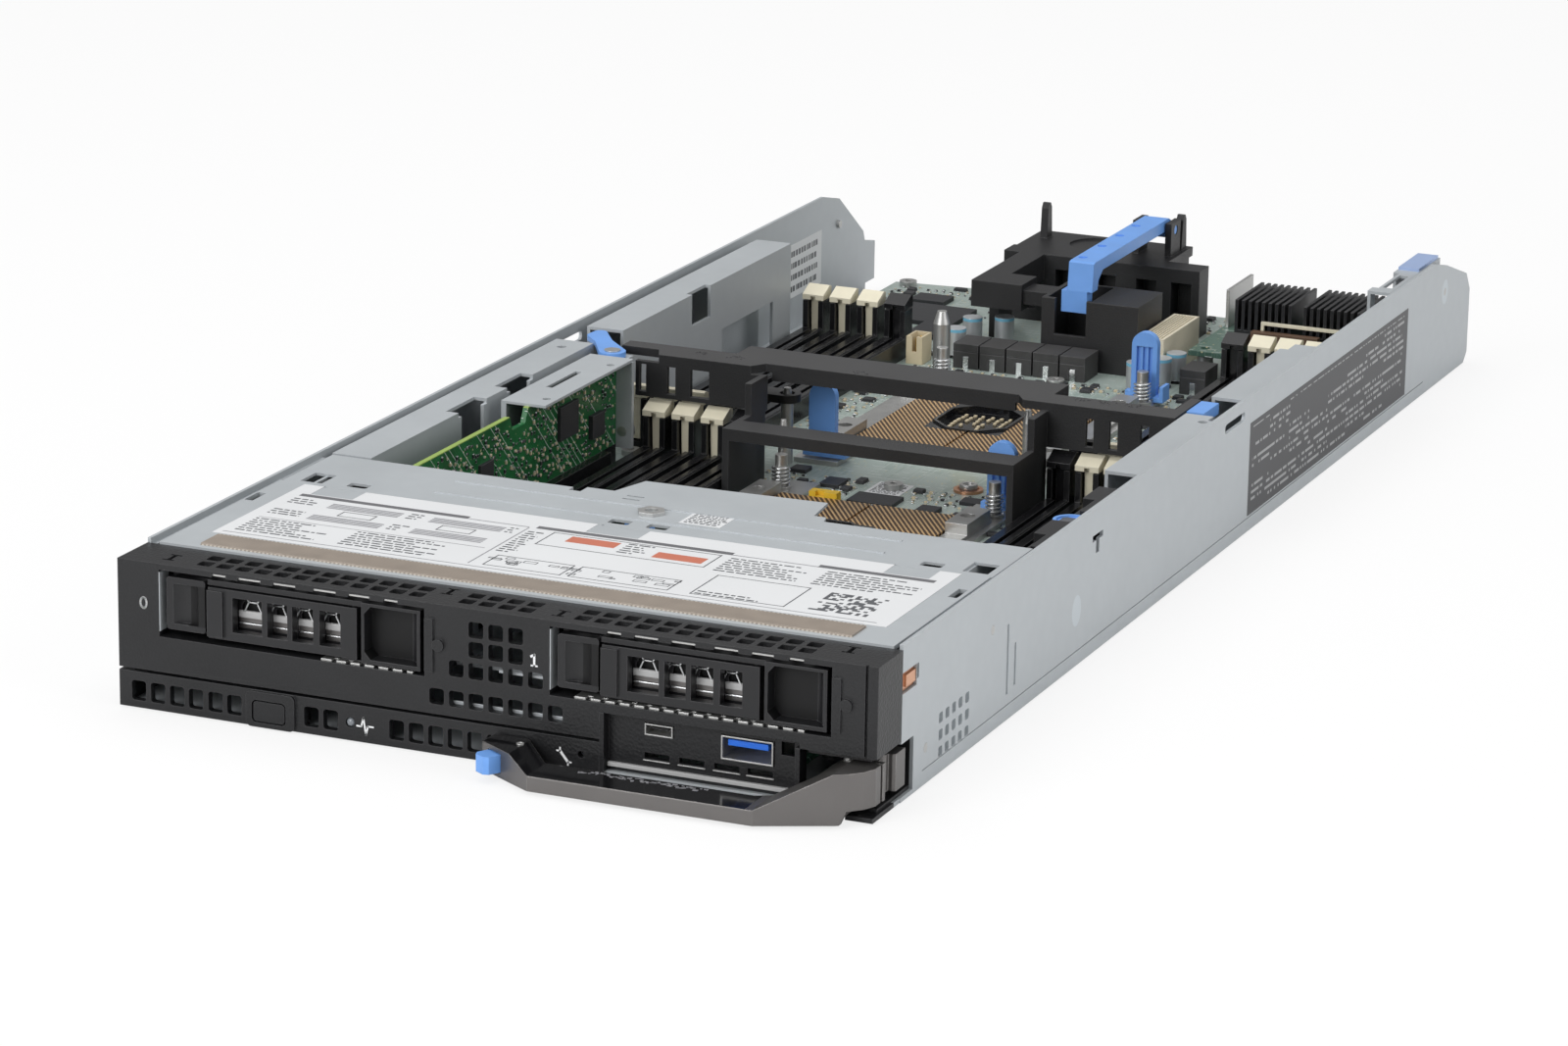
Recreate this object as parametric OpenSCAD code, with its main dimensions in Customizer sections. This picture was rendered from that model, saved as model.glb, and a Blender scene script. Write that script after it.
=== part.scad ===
// Half-width blade server sled with two drive bays, two processor sockets and
// sixteen memory sockets. X runs to the right, Y to the rear and Z up.

/* [Sled] */
// Width over both side plates
sled_w = 211; // [209:0.5:214]
// Height of the side plates
sled_h = 40.8; // [40.4:0.1:42]
// Depth from the bezel's front face to the rear tab
sled_depth = 508; // [504:1:520]
// Thickness of the side plates
plate_t = 1; // [0.8:0.1:1]
// Thickness of the pan's floor
floor_t = 1.2; // [1:0.1:1.2]
// Depth of the moulded bezel
bezel_depth = 15.7; // [14:0.1:16]
// Height of the bezel's upper edge
bezel_top = 39.5; // [39:0.1:39.5]

/* [Drive bays] */
// Width of a drive bay's opening
bay_w = 76; // [75:0.5:76]
// Distance between the two bays
bay_pitch = 110.8; // [110:0.2:111]
// Left edge of the left bay
bay_x = -93.5; // [-94:0.1:-93]
// Height of the bay's floor above the bench
bay_floor = 20; // [19.8:0.1:20]
// Length of a disk
disk_len = 99; // [90:1:99]
// Height of a disk
disk_h = 14.8; // [7:0.1:15]

/* [Handle] */
// Distance from the bezel to the front of the handle
handle_reach = 17.5; // [16:0.5:18]
// Radius of the handle's pivot pin
pivot_r = 1.5; // [1:0.1:1.8]
// Gap around the pivot pin
pivot_gap = 0.05; // [0.03:0.01:0.08]

/* [Memory] */
// Length of a memory socket
dimm_len = 142; // [141:0.5:142]
// Width of a memory socket
dimm_w = 7; // [6:0.1:7.2]
// Height of the socket's upper face
dimm_top = 12.5; // [12:0.1:13]
// Height of the sockets' end towers
tower_top = 21.5; // [20:0.1:21.5]

/* [Processor sockets] */
// Width of a contact field
field_w = 57; // [55:0.5:57]
// Length of a contact field
field_len = 77; // [74:0.5:77]
// Height of a contact field's upper face
field_top = 9; // [8.5:0.1:9.5]

/* [Motherboard] */
// Height of the standoffs
standoff_h = 3; // [2.5:0.1:3]
// Thickness of the motherboard
board_t = 1.8; // [1.8:0.1:2.3]

/* [Hidden] */
$fn = 40;

half_w = sled_w / 2;
inner_x = half_w - plate_t;
mid_y = (sled_depth - handle_reach) / 2;
rear_y = sled_depth - 8;
plate_front = bezel_depth;
board_z = floor_t + standoff_h;
board_top = board_z + board_t;
cut = 0.5;

// Colours as the real pieces have them
zinc = [0.72, 0.75, 0.78];
steel = [0.6, 0.62, 0.65];
black_plastic = [0.09, 0.09, 0.1];
gunmetal = [0.33, 0.32, 0.31];
touch_blue = [0.25, 0.5, 0.85];
board_green = [0.16, 0.36, 0.27];
ivory = [0.93, 0.92, 0.84];

// A box between two corners
module span(x, y, z) {
    translate([x[0], y[0], z[0]]) cube([x[1] - x[0], y[1] - y[0], z[1] - z[0]]);
}

// A flat shape drawn in X and Z, standing from y[0] to y[1]
module upright(y) {
    translate([0, y[1], 0]) rotate([90, 0, 0]) linear_extrude(y[1] - y[0]) children();
}

// A flat shape drawn in Y and Z, reaching from x[0] to x[1]
module sideways(x) {
    translate([x[0], 0, 0]) rotate([90, 0, 90]) linear_extrude(x[1] - x[0]) children();
}

// A flat shape drawn in X and Y, reaching from z[0] to z[1]
module level(z) {
    translate([0, 0, z[0]]) linear_extrude(z[1] - z[0]) children();
}

// A rectangle with round corners, about its centre
module soft_rect(w, h, r) {
    square([w - 2 * r, h], center = true);
    square([w, h - 2 * r], center = true);
    for (sx = [-1, 1], sy = [-1, 1])
        translate([sx * (w / 2 - r), sy * (h / 2 - r)]) circle(r, $fn = 16);
}

// ---------------------------------------------------------------- sheet metal

pan_front = 2.2;
lip_top = 2;
port_x = [31, 85];
foot_x = [98, half_w - 0.2];
foot_y = -1.6;

side_slot_x = [-70, 70];

module standoff() {
    difference() {
        cylinder(r = 3, h = standoff_h);
        translate([0, 0, -cut]) cylinder(r = 1.25, h = standoff_h + 2 * cut);
    }
}

// Floor with its front lip, corner foot, stiffening grooves and board standoffs
module base_pan() {
    color(zinc) {
        difference() {
            level([0, floor_t]) polygon([
                [-inner_x, pan_front], [port_x[0], pan_front], [port_x[0], 1.4],
                [foot_x[0], 1.4], [foot_x[0], foot_y], [foot_x[1], foot_y],
                [foot_x[1], plate_front], [inner_x, plate_front],
                [inner_x, rear_y], [-inner_x, rear_y]]);
            for (x = side_slot_x, y = [130 : 45 : 450])
                translate([x, y, -cut]) cube([24, 1.2, cut + 0.5]);
        }
        span([port_x[0], port_x[1]], [1.4, 5], [floor_t, lip_top]);
        for (p = screw_at) translate([p[0], p[1], floor_t]) standoff();
    }
}

plate_slope = [[462, sled_h], [476, 37.5], [499, 30], [503.5, 24], [503.5, 3], [500, 0]];
left_slope = [[462, sled_h], [476, 37.5], [497.5, 22], [499, 18.5], [sled_depth, 16.5],
    [sled_depth, 3.4], [500, 3.4], [500, 0]];
cam_window = [8.1, 15.2];
spring_window_z = [28, 33.5];
spring_window_y = 9.3;

module vent_grid(cols, rows) {
    for (y = cols, z = rows) translate([y, z]) soft_rect(2.6, 2.8, 0.6);
}

// Plate with its handle window, vents and slots
module right_side_plate() {
    color(zinc) difference() {
        sideways([inner_x, half_w]) difference() {
            polygon(concat([[plate_front, 0], [plate_front, sled_h]], plate_slope));
            translate([plate_front - cut, floor_t])
                square([cam_window[0] + cut, cam_window[1] - floor_t]);
            translate([plate_front - cut, spring_window_z[0]])
                square([spring_window_y + cut, spring_window_z[1] - spring_window_z[0]]);
            vent_grid([42, 46.4, 50.9, 55.4, 60], [5.5, 10, 14.5]);
            translate([154, 32.2]) square([8, 1.7], center = true);
            translate([154, 30]) square([2.4, 4.6], center = true);
            translate([267, 36.1]) soft_rect(17.5, 2.7, 1.2);
            translate([25.8, 31.5]) soft_rect(1.2, 4, 0.5);
            for (p = [[77, 27.5], [32, 9.5], [475, 29]]) translate(p) circle(1.3);
        }
        for (g = [[88, 7, 26], [93.5, 8, 19.5]])
            span([half_w - 0.4, half_w + cut], [g[0] - 0.7, g[0] + 0.7], [g[1], g[2]]);
        span([half_w - 0.3, half_w + cut], [30, 455], [3.9, 4.3]);
    }
}

// Plate with its stepped rear tab
module left_side_plate() {
    color(zinc) difference() {
        sideways([-half_w, -inner_x]) difference() {
            polygon(concat([[plate_front, 0], [plate_front, sled_h]], left_slope));
            vent_grid([42, 46.4, 50.9, 55.4, 60], [5.5, 10, 14.5]);
            translate([267, 36.1]) soft_rect(17.5, 2.7, 1.2);
            for (p = [[77, 27.5], [32, 9.5], [475, 29]]) translate(p) circle(1.3);
        }
        span([-half_w - cut, -half_w + 0.3], [30, 455], [3.9, 4.3]);
    }
}

rail_top = 40;
rail_t = 1;

// An inverted channel that stands on the floor, open at both ends
module channel_rail(x, y) {
    difference() {
        span(x, y, [floor_t, rail_top]);
        span([x[0] + rail_t, x[1] - rail_t], [y[0] - cut, y[1] + cut], [0, rail_top - rail_t]);
    }
}

module left_guide_rails() {
    color(zinc) {
        difference() {
            channel_rail([-102.5, -90.5], [112, 254]);
            for (y = [[165, 183], [196, 213]]) {
                span([-94.5, -90], y, [rail_top - rail_t - cut, rail_top + cut]);
                span([-92, -90], [y[0] + 2, y[1] - 2], [31, rail_top]);
            }
            span([-92, -90], [120, 150], [8, 22]);
            translate([-97, 246, rail_top - 2]) cylinder(r = 1.4, h = 3);
        }
        difference() {
            channel_rail([-101, -89], [272, 399]);
            span([-91, -88.5], [322, 336], [30, rail_top + cut]);
            span([-91, -88.5], [345, 385], [9, 24]);
        }
    }
}

// Rails folded to an angle, closed on the outside by the side plate
module angle_rail(x, y) {
    span([x, x + rail_t], y, [floor_t, rail_top]);
    span([x + rail_t, inner_x], y, [rail_top - rail_t, rail_top]);
}

module right_guide_rails() {
    color(zinc) {
        difference() {
            angle_rail(94, [190, 257]);
            translate([101.5, 250, rail_top - 2]) cylinder(r = 1.4, h = 3);
            span([93.5, 95.5], [200, 240], [8, 24]);
            span([102.3, inner_x + cut], [252, 257.5], [rail_top - 2, rail_top + cut]);
        }
        difference() {
            angle_rail(94.5, [278, 347]);
            span([94, 96], [290, 335], [8, 24]);
            span([94, 97], [340, 347.5], [33, rail_top + cut]);
        }
    }
}

// Folded guide with a blue pad on its rear end
module rear_guide_bracket() {
    color(steel) difference() {
        union() {
            span([95, 96], [425, 478], [floor_t, 39.2]);
            span([95, 102.5], [425, 478], [38.2, 39.2]);
            span([101.5, 102.5], [425, 478], [33, 38.2]);
        }
        span([94, 97], [430, 452], [20, 40]);
        span([98, 101], [431, 449], [37, 40]);
    }
    color(touch_blue) span([95.4, 102.1], [456, 477], [39.2, 40.2]);
}

cover_z = [39, 40.2];
deck_z = [39, 39.8];
deck_y = 81;

// Flat lid over the drive bays
module drive_bay_cover() {
    color(zinc) difference() {
        span([-102, 103], [bezel_depth, deck_y], cover_z);
        for (x = [-101, 100]) span([x - 0.5, x + 2], [60, 68], [38, 41]);
        for (x = [-81.7, 0.5, 83.2]) span([x - 6.5, x + 6.5], [79.6, deck_y + cut], [38, 41]);
    }
}

// Panel behind the lid, with its tongue over the front processor
module rear_deck() {
    color(zinc) {
        difference() {
            level(deck_z) polygon([
                [-102, deck_y], [103, deck_y], [103, 111], [91.5, 111], [90.5, 110], [44.5, 110],
                [43.5, 114], [40, 114], [38.5, 127], [-14, 125], [-17.5, 112.5], [-25.5, 112.5],
                [-25.5, 108], [-29, 108], [-29, 111], [-102, 111]]);
            for (p = [[-81, 86.5], [-3.5, 86], [7.5, 86], [85, 86]])
                translate([p[0], p[1], 38]) linear_extrude(3) soft_rect(6, 4, 0.8);
            for (y = [106.4, 109.4]) span([-12.5, -7.5], [y, y + 1.1], [38, 41]);
            for (x = [[-97.5, -91], [94, 101]]) span(x, [84, 93], [38, 41]);
        }
        for (y = [89.5, 101.5]) span([-60, 70], [y, y + 1], [deck_z[1], deck_z[1] + 0.3]);
        span([-99, -29], [110, 111], [34, deck_z[0]]);
        span([45, 90], [109, 110], [34, deck_z[0]]);
    }
}

// Foil covered gasket along the front of the lid
module cover_gasket() {
    color([0.6, 0.56, 0.52]) difference() {
        span([-91, 91], [17.5, 27], [cover_z[1], sled_h - 0.05]);
        span([-92, 92], [17, 17.9], [cover_z[1] + 0.25, sled_h]);
    }
}

cage_floor = [18.8, 19.8];
cage_rear = 104.6;
wall_t = 0.9;
bay_wall_x = [bay_x - 0.4 - wall_t, bay_x + bay_w + 0.4];

// Folded cage that carries both drives and the covers
module drive_cage() {
    color(zinc) {
        difference() {
            span([-inner_x, inner_x], [plate_front, cage_rear], cage_floor);
            for (b = [0, 1], k = [0 : 2])
                translate([bay_x + b * bay_pitch + 12, 30 + 24 * k, 18])
                    cube([52, 12, 3]);
            span([-14, 14], [22, 96], [18, 20.5]);
        }
        for (b = [0, 1], x = bay_wall_x)
            difference() {
                span([x + b * bay_pitch, x + b * bay_pitch + wall_t], [plate_front, cage_rear],
                    [cage_floor[1], cover_z[0]]);
                for (k = [0 : 2])
                    span([x + b * bay_pitch - cut, x + b * bay_pitch + wall_t + cut],
                        [28 + 26 * k, 44 + 26 * k], [24, 34]);
            }
        for (s = [-1, 1]) difference() {
            sideways([s * (inner_x - rail_t / 2) - rail_t / 2, s * (inner_x - rail_t / 2) + rail_t / 2]) {
                y0 = s < 0 ? plate_front : plate_front + 12;
                translate([y0, cage_floor[1]]) square([110 - y0, cover_z[0] - cage_floor[1]]);
                translate([y0, floor_t]) square([110 - y0, cage_floor[0] - floor_t]);
            }
            for (p = plate_screw_at) translate([s * inner_x, p[0], p[1]])
                rotate([0, 90, 0]) cylinder(r = 1.3, h = 4, center = true);
        }
    }
}

// ---------------------------------------------------------------- front mouldings

vent_pitch = 5.5;
centre_vents = [[34, 1], [28.8, 1], [23.2, 2], [15.2, 3]];
centre_vent_x = 2.4;

function bezel_outline() = [
    [-half_w, 10.5], [port_x[0], 10.5], [port_x[0], 17.5], [port_x[1], 17.5],
    [port_x[1], 15.9], [half_w, 15.9], [half_w, bezel_top], [-half_w, bezel_top]];

contacts = [[-78, -74], [-70.5, -64], [-60.5, -54], [-49, -42.5], [-39, -33], [-29, -25]];

module bay_opening(b) {
    translate([bay_x + b * bay_pitch, bay_floor]) square([bay_w, 17.9]);
}

// Moulded face with the bay openings, air holes and slotted top
module front_bezel() {
    color(black_plastic) {
        difference() {
            union() {
                upright([0, 2.4]) difference() {
                    polygon(bezel_outline());
                    for (b = [0, 1]) bay_opening(b);
                    for (v = centre_vents, k = [-v[1] : v[1]])
                        translate([centre_vent_x + k * vent_pitch, v[0]]) soft_rect(4.1, 4.2, 0.8);
                }
                span([-half_w, half_w], [2.4, bezel_depth], [37.9, bezel_top]);
                span([-half_w, -half_w + 2.5], [2.4, bezel_depth], [10.5, 37.9]);
                span([half_w - 2.5, half_w], [2.4, bezel_depth], [15.9, 37.9]);
                for (b = [0, 1]) {
                    x0 = bay_x + b * bay_pitch;
                    span([x0 - 1.2, x0], [2.4, bezel_depth], [18.8, 37.9]);
                    span([x0 + bay_w, x0 + bay_w + 1.2], [2.4, bezel_depth], [18.8, 37.9]);
                    span([x0, x0 + bay_w], [2.4, bezel_depth], [18.8, bay_floor]);
                    translate([x0 + 80, 0, 28.8]) rotate([90, 0, 0]) cylinder(r = 1.6, h = 0.8);
                    span([x0 + 76.2, x0 + 78.6], [-0.6, 0], [21.5, 35.5]);
                }
            }
            level([37, 40]) {
                for (y = [5.3, 10.5]) {
                    for (x0 = [-82.5, 24], k = [0 : 11])
                        translate([x0 + k * vent_pitch, y]) soft_rect(4, 4, 0.7);
                    for (k = [0 : 3]) translate([-8 + k * vent_pitch, y]) soft_rect(4, 4, 0.7);
                }
                for (p = [[-93, 6.5], [-15.6, 11], [17.5, 6.5], [94, 10.5]]) translate(p) {
                    square([1.2, 5], center = true);
                    for (s = [-1, 1]) translate([0, s * 2.2]) square([3.4, 1], center = true);
                }
            }
            for (b = [0, 1], c = contacts)
                span([c[0] + b * bay_pitch, c[1] + b * bay_pitch], [-cut, 3.5], [37.4, 38.8]);
            span([half_w - 3.4, half_w - 2.6], [-cut, 0.9], [15, 40]);
        }
    }
}

low_vents = [-99.8, -94.2, -88.6, -83.1, -77.4, -71.9, -49.7, -44.2, -25.4, -19.9, -14.4,
    -8.9, -3.4, 2.1, 7.6];
strip_top = 9.7;
button_x = [-66, -57.2];
lens_at = [-38.6, 4.8];

// Lower half of the face
module lower_vent_strip() {
    color(black_plastic) {
        upright([0, pan_front]) difference() {
            translate([-half_w, 0]) square([half_w + port_x[0], strip_top]);
            for (x = low_vents) translate([x, 4.6]) soft_rect(4.2, 5.3, 0.8);
            translate([(button_x[0] + button_x[1]) / 2, 4.2]) soft_rect(9.6, 5.8, 1.2);
            translate(lens_at) circle(1.3, $fn = 24);
            translate([26, 5.7]) circle(0.9, $fn = 24);
        }
        upright([-0.8, 0]) difference() {
            translate([-61.2, 4.75]) soft_rect(14, 9.5, 1.5);
            translate([-61.6, 4.2]) soft_rect(9.8, 6, 1.3);
        }
        span([-half_w, -half_w + 2.5], [pan_front, bezel_depth], [floor_t, strip_top]);
        span([port_x[0] - 1.2, port_x[0]], [pan_front, 5], [floor_t, strip_top]);
        for (x = [-68.6, -54.9])
            span([x, x + 0.8], [pan_front, 8], [floor_t, strip_top - 1]);
    }
}

port_y = [3, 4.6];
usb_x = [63, 77];
usb_z = [9.3, 15.5];
micro_x = [42.2, 49.8];
micro_z = [12.5, 15.5];
io_top = 9.3;

// Recessed panel around the front sockets
module port_panel() {
    color(black_plastic) {
        difference() {
            span(port_x, port_y, [lip_top, 17.5]);
            upright([2, 6]) {
                translate([usb_x[0] - 0.2, usb_z[0] - 0.2])
                    square([usb_x[1] - usb_x[0] + 0.4, usb_z[1] - usb_z[0] + 0.4]);
                translate([micro_x[0] - 0.2, micro_z[0] - 0.2])
                    square([micro_x[1] - micro_x[0] + 0.4, micro_z[1] - micro_z[0] + 0.4]);
                translate([79, 12.5]) square([3.5, 3.5]);
                for (x = [42, 51.5, 61, 70]) translate([x, 6.2]) square([6.8, 1.6]);
            }
        }
        span([port_x[0], port_x[0] + 1.2], [0, port_y[0]], [lip_top, 17.5]);
        span([port_x[1] - 1.2, port_x[1]], [0.2, port_y[0]], [lip_top, 15.9]);
    }
}

module socket_shell(x, y, z, t) {
    difference() {
        span(x, y, z);
        span([x[0] + t, x[1] - t], [y[0] - cut, y[1] - 1], [z[0] + t, z[1] - t]);
    }
}

// Full-size and small serial bus sockets
module usb_ports() {
    color(steel) {
        socket_shell(usb_x, [2.4, 17], usb_z, 0.4);
        socket_shell(micro_x, [2.6, 9], micro_z, 0.35);
    }
    color(black_plastic) span(micro_x, [4.8, 9], [io_top, micro_z[0]]);
    color(touch_blue) span([64.6, 75.4], [3.2, 16], [12.9, 14.4]);
    color(black_plastic) span([43.6, 48.4], [3.4, 8], [14.1, 14.5]);
}

// Small board that carries the front sockets
module front_io_board() {
    color(board_green) {
        difference() {
            span([36, 82], [4.8, 44], [7.8, io_top]);
            for (x = [40, 78], y = [38, 10]) translate([x, y, 7]) cylinder(r = 1.3, h = 3);
        }
    }
    color(steel) for (x = [40, 78]) translate([x, 38, floor_t]) difference() {
        cylinder(r = 2.6, h = 7.8 - floor_t);
        cylinder(r = 1.3, h = 8);
    }
    color(steel) for (x = [40, 78]) translate([x, 10, floor_t]) difference() {
        cylinder(r = 2.6, h = 7.8 - floor_t);
        cylinder(r = 1.3, h = 8);
    }
}

// Spring fingers above each bay and perforated strips below
module contact_springs() {
    color(steel) for (b = [0, 1]) {
        for (c = contacts)
            span([c[0] + b * bay_pitch, c[1] + b * bay_pitch], [0.4, 3.5], [38.2, 38.8]);
        difference() {
            x0 = b == 0 ? -47 : 24;
            x1 = b == 0 ? -21 : 86;
            span([x0, x1], [0.4, 5], [bay_floor, bay_floor + 0.6]);
            for (x = [x0 + 3 : 4 : x1 - 3])
                span([x, x + 1.4], [-1, 2.2], [bay_floor - 1, bay_floor + 1]);
        }
    }
}

// Curled strip that grounds the sled on its right side
module ground_spring() {
    color([0.75, 0.45, 0.28]) {
        span([half_w - 1.6, half_w - 0.8], [plate_front, 24.8], [28.2, 33.3]);
        span([half_w - 0.8, half_w - 0.2], [18.5, 24.8], [29.2, 32.3]);
        span([103, half_w - 1.6], [plate_front, plate_front + 0.8], [28.2, 33.3]);
    }
}

// ---------------------------------------------------------------- handle

pivot = [95, 8];
handle_z = [2.5, 13.6];
bracket_x = [86, inner_x];
bracket_back = [23.9, 25.2];
bracket_top = [14.2, 15.4];

// Yoke that holds the pivot pin
module handle_bracket() {
    color(black_plastic) {
        difference() {
            union() {
                span([bracket_x[0], foot_x[0]], [3, bracket_back[1]], [floor_t, 2.2]);
                span([foot_x[0], bracket_x[1]], [3, bracket_back[1]], [floor_t, 2.2]);
                span(bracket_x, bracket_back, [2.2, bracket_top[0]]);
                span([bracket_x[0], 103], [3, bracket_back[1]], bracket_top);
            }
            translate([pivot[0], pivot[1], 0]) cylinder(r = pivot_r, h = 20);
        }
    }
}

module handle_pivot_pin() {
    color(steel) translate([pivot[0], pivot[1], 0]) {
        translate([0, 0, floor_t]) cylinder(r = pivot_r, h = bracket_top[1] - floor_t);
        translate([0, 0, bracket_top[1]]) cylinder(r = 2.8, h = 0.9);
    }
}

// Plan of the handle: left block, low bar, rising right end and cam
module handle_plan() {
    difference() {
        union() {
            polygon([
                [2.3, -7.1], [13.2, -13.8], [19.5, -handle_reach], [80, -handle_reach + 0.4],
                [98, -8.3], [100.8, -6.4], [103.6, -3.4], [105.2, 0.2], [105.2, 3.4],
                [103.4, 4.4], [103.4, 18.6], [98.2, 18.6], [97, 13], [90.2, 10.5], [90, 1],
                [86, -1], [76, -6.6], [19.2, -6.6], [11.6, -0.7], [2.6, -0.9]]);
            translate([103, 4.4]) square([2.4, 1.6]);
            translate([103, 12.4]) square([2.4, 6.2]);
            translate(pivot) circle(4.8);
        }
        translate([106.4, 9.3]) circle(3.6);
        translate(pivot) circle(pivot_r + pivot_gap);
    }
}

module handle_profile() {
    polygon([
        [0, 0.5], [98.9, 0.5], [100.4, 4], [110, 4], [110, handle_z[1]], [97.5, handle_z[1]],
        [80, 4.5], [19.5, 4.5], [12.6, 8], [0, 8]]);
}

// Bail handle with its cam, on a vertical pivot
module sled_handle() {
    color(gunmetal) difference() {
        intersection() {
            level([0, 20]) handle_plan();
            upright([-30, 30]) handle_profile();
        }
        translate([pivot[0], pivot[1], 0]) cylinder(r = 14.6, h = 2.5);
        span([80, 110], [-1.6, 25], [0, 2.5]);
        release_channel();
    }
}

release_dir = 31.5;
release_at = [7.2, -9.4];

// The release slides squarely to the handle's slanted left face
module along_release() {
    translate([release_at[0], release_at[1], 0]) rotate([0, 0, -release_dir]) children();
}

module release_channel() {
    along_release() span([-3, 3], [-6, 6.2], [1.6, 6.8]);
}

module handle_release() {
    color(touch_blue) along_release() {
        span([-2.7, 2.7], [-1, 3], [1.9, 6.5]);
        difference() {
            span([-2.7, 2.7], [-5, -1], [1.9, 6.5]);
            translate([-2.7, -5, 0]) rotate([0, 0, 45]) cube([1.6, 1.6, 20], center = true);
            translate([2.7, -5, 0]) rotate([0, 0, 45]) cube([1.6, 1.6, 20], center = true);
        }
    }
}

// ---------------------------------------------------------------- drives

function bay_left(b) = bay_x + b * bay_pitch;
bar_z = [21.5, 35];
lever_y = [0.6, 3.4];
lever_hinge = [55.2, 2.4];
lever_end = 56.6;
hinge_r = 0.8;
back_y = [5, 6.2];
disk_x = [3.2, 72.8];
disk_z = 21.8;
windows = [[21, 29.5], [31, 36.8], [38.2, 44.2], [46, 52]];

// Tray that slides in the bay: front frame, finger recess and side rails
module carrier(b) {
    translate([bay_left(b), 0, 0]) color(black_plastic) {
        difference() {
            span([1.6, 74.4], back_y, [20.9, 36.8]);
            for (w = windows)
                upright([back_y[0] - cut, back_y[1] + cut])
                    polygon([[w[0] + 0.4, 24.5], [w[1] - 0.4, 24.5], [w[1] - 0.4, 30],
                        [w[1] - 1.8, 32], [w[0] + 1.8, 32], [w[0] + 0.4, 30]]);
        }
        upright([0.4, back_y[0]]) difference() {
            translate([58, 20.9]) square([16.6, 15.9]);
            polygon([[58.8, 24], [60.6, 22], [73.8, 22], [73.8, 36], [60.6, 36], [58.8, 34]]);
        }
        difference() {
            span([70.5, 73.8], [2.2, back_y[0]], [22, 36]);
            translate([69.6, 1.6, 21]) cylinder(r = 3.2, h = 16);
        }
        span([13.6, 58], [1.2, back_y[0]], [35.4, 36.8]);
        span([52, 58], [1.2, back_y[0]], [20.9, 21.2]);
        translate([lever_hinge[0], lever_hinge[1], 21.2]) cylinder(r = hinge_r, h = 14.2, $fn = 24);
        for (x = [[1.6, disk_x[0]], [disk_x[1], 74.4]])
            span(x, [back_y[1], back_y[1] + disk_len], [22, 36]);
    }
}

module disk(b) {
    translate([bay_left(b), 0, 0]) color(steel) difference() {
        span(disk_x, [back_y[1], back_y[1] + disk_len], [disk_z, disk_z + disk_h]);
        span([20, 56], [100, 106], [disk_z - cut, 27]);
        span([6, 70], [10, 100], [disk_z + disk_h - 0.5, disk_z + disk_h + cut]);
    }
}

module lever(b) {
    translate([bay_left(b), 0, 0]) color(black_plastic) {
        difference() {
            union() {
                upright(lever_y) difference() {
                    translate([14, bar_z[0]]) square([lever_end - 14, bar_z[1] - bar_z[0]]);
                    for (w = windows) translate([w[0], 23.8]) square([w[1] - w[0], 9.2]);
                }
                span([14, 18.5], [-0.2, lever_y[0]], [bar_z[0] + 0.6, bar_z[1] - 0.6]);
            }
            translate([lever_hinge[0], lever_hinge[1], 20])
                cylinder(r = hinge_r + pivot_gap, h = 17, $fn = 24);
        }
    }
}

module drive_release(b) {
    translate([bay_left(b), 0, 0]) color(black_plastic) difference() {
        upright([0.5, 3.3]) translate([7.6, 29.3]) soft_rect(11.2, 14, 0.8);
        translate([7.6, -2.6, 24]) cylinder(r = 4.8, h = 10.6);
    }
}

module drive_0_carrier() { carrier(0); }
module drive_0_disk() { disk(0); }
module drive_0_lever() { lever(0); }
module drive_0_release() { drive_release(0); }
module drive_1_carrier() { carrier(1); }
module drive_1_disk() { disk(1); }
module drive_1_lever() { lever(1); }
module drive_1_release() { drive_release(1); }

back_board_y = [105.6, 107.2];

// Upright board behind the drives, open between its connectors
module backplane_board() {
    color(board_green) upright(back_board_y) difference() {
        translate([-98, board_top]) square([196, 38.6 - board_top]);
        for (x = [-90, -62, -34, 10, 38, 66]) translate([x, 9]) square([22, 9]);
        for (x = [-92, -36, 18, 74]) translate([x, 29]) square([16, 7]);
        translate([-12, 20]) square([24, 14]);
    }
    color(black_plastic) for (b = [0, 1])
        span([bay_left(b) + 22, bay_left(b) + 54], [101, back_board_y[0]], [22.8, 26.2]);
}

// Key on the lower strip
module power_button() {
    color(black_plastic) {
        upright([-0.6, 3.2]) translate([-61.6, 4.2]) soft_rect(9, 5.2, 0.9);
        upright([3.2, 4]) translate([-61.6, 4.6]) soft_rect(10.6, 6, 0.9);
    }
}

// ---------------------------------------------------------------- motherboard

board_left = -88.6;
board_right = 93.6;
board_y = [100, 498.5];
screw_at = [[-80, 102.3], [4.5, 102.3], [88, 102.3], [-80, 258.5], [4.5, 258.5], [88, 258.5],
    [4.5, 392.5], [88, 492], [-86, 493]];

module motherboard() {
    color(board_green) difference() {
        level([board_z, board_top]) polygon([
            [board_left, board_y[0]], [board_right, board_y[0]], [board_right, board_y[1]],
            [-64, board_y[1] + 1], [-91.8, 496.5], [-91.8, 403], [board_left, 403]]);
        for (p = screw_at) translate([p[0], p[1], 0]) cylinder(r = 1.6, h = 20);
    }
}

// Centres of the front and rear processor sockets
cpu_at = [[9, 192.5], [4.5, 330]];

module octagon(w, h, c) {
    polygon([
        [-w / 2 + c, -h / 2], [w / 2 - c, -h / 2], [w / 2, -h / 2 + c], [w / 2, h / 2 - c],
        [w / 2 - c, h / 2], [-w / 2 + c, h / 2], [-w / 2, h / 2 - c], [-w / 2, -h / 2 + c]]);
}

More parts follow.
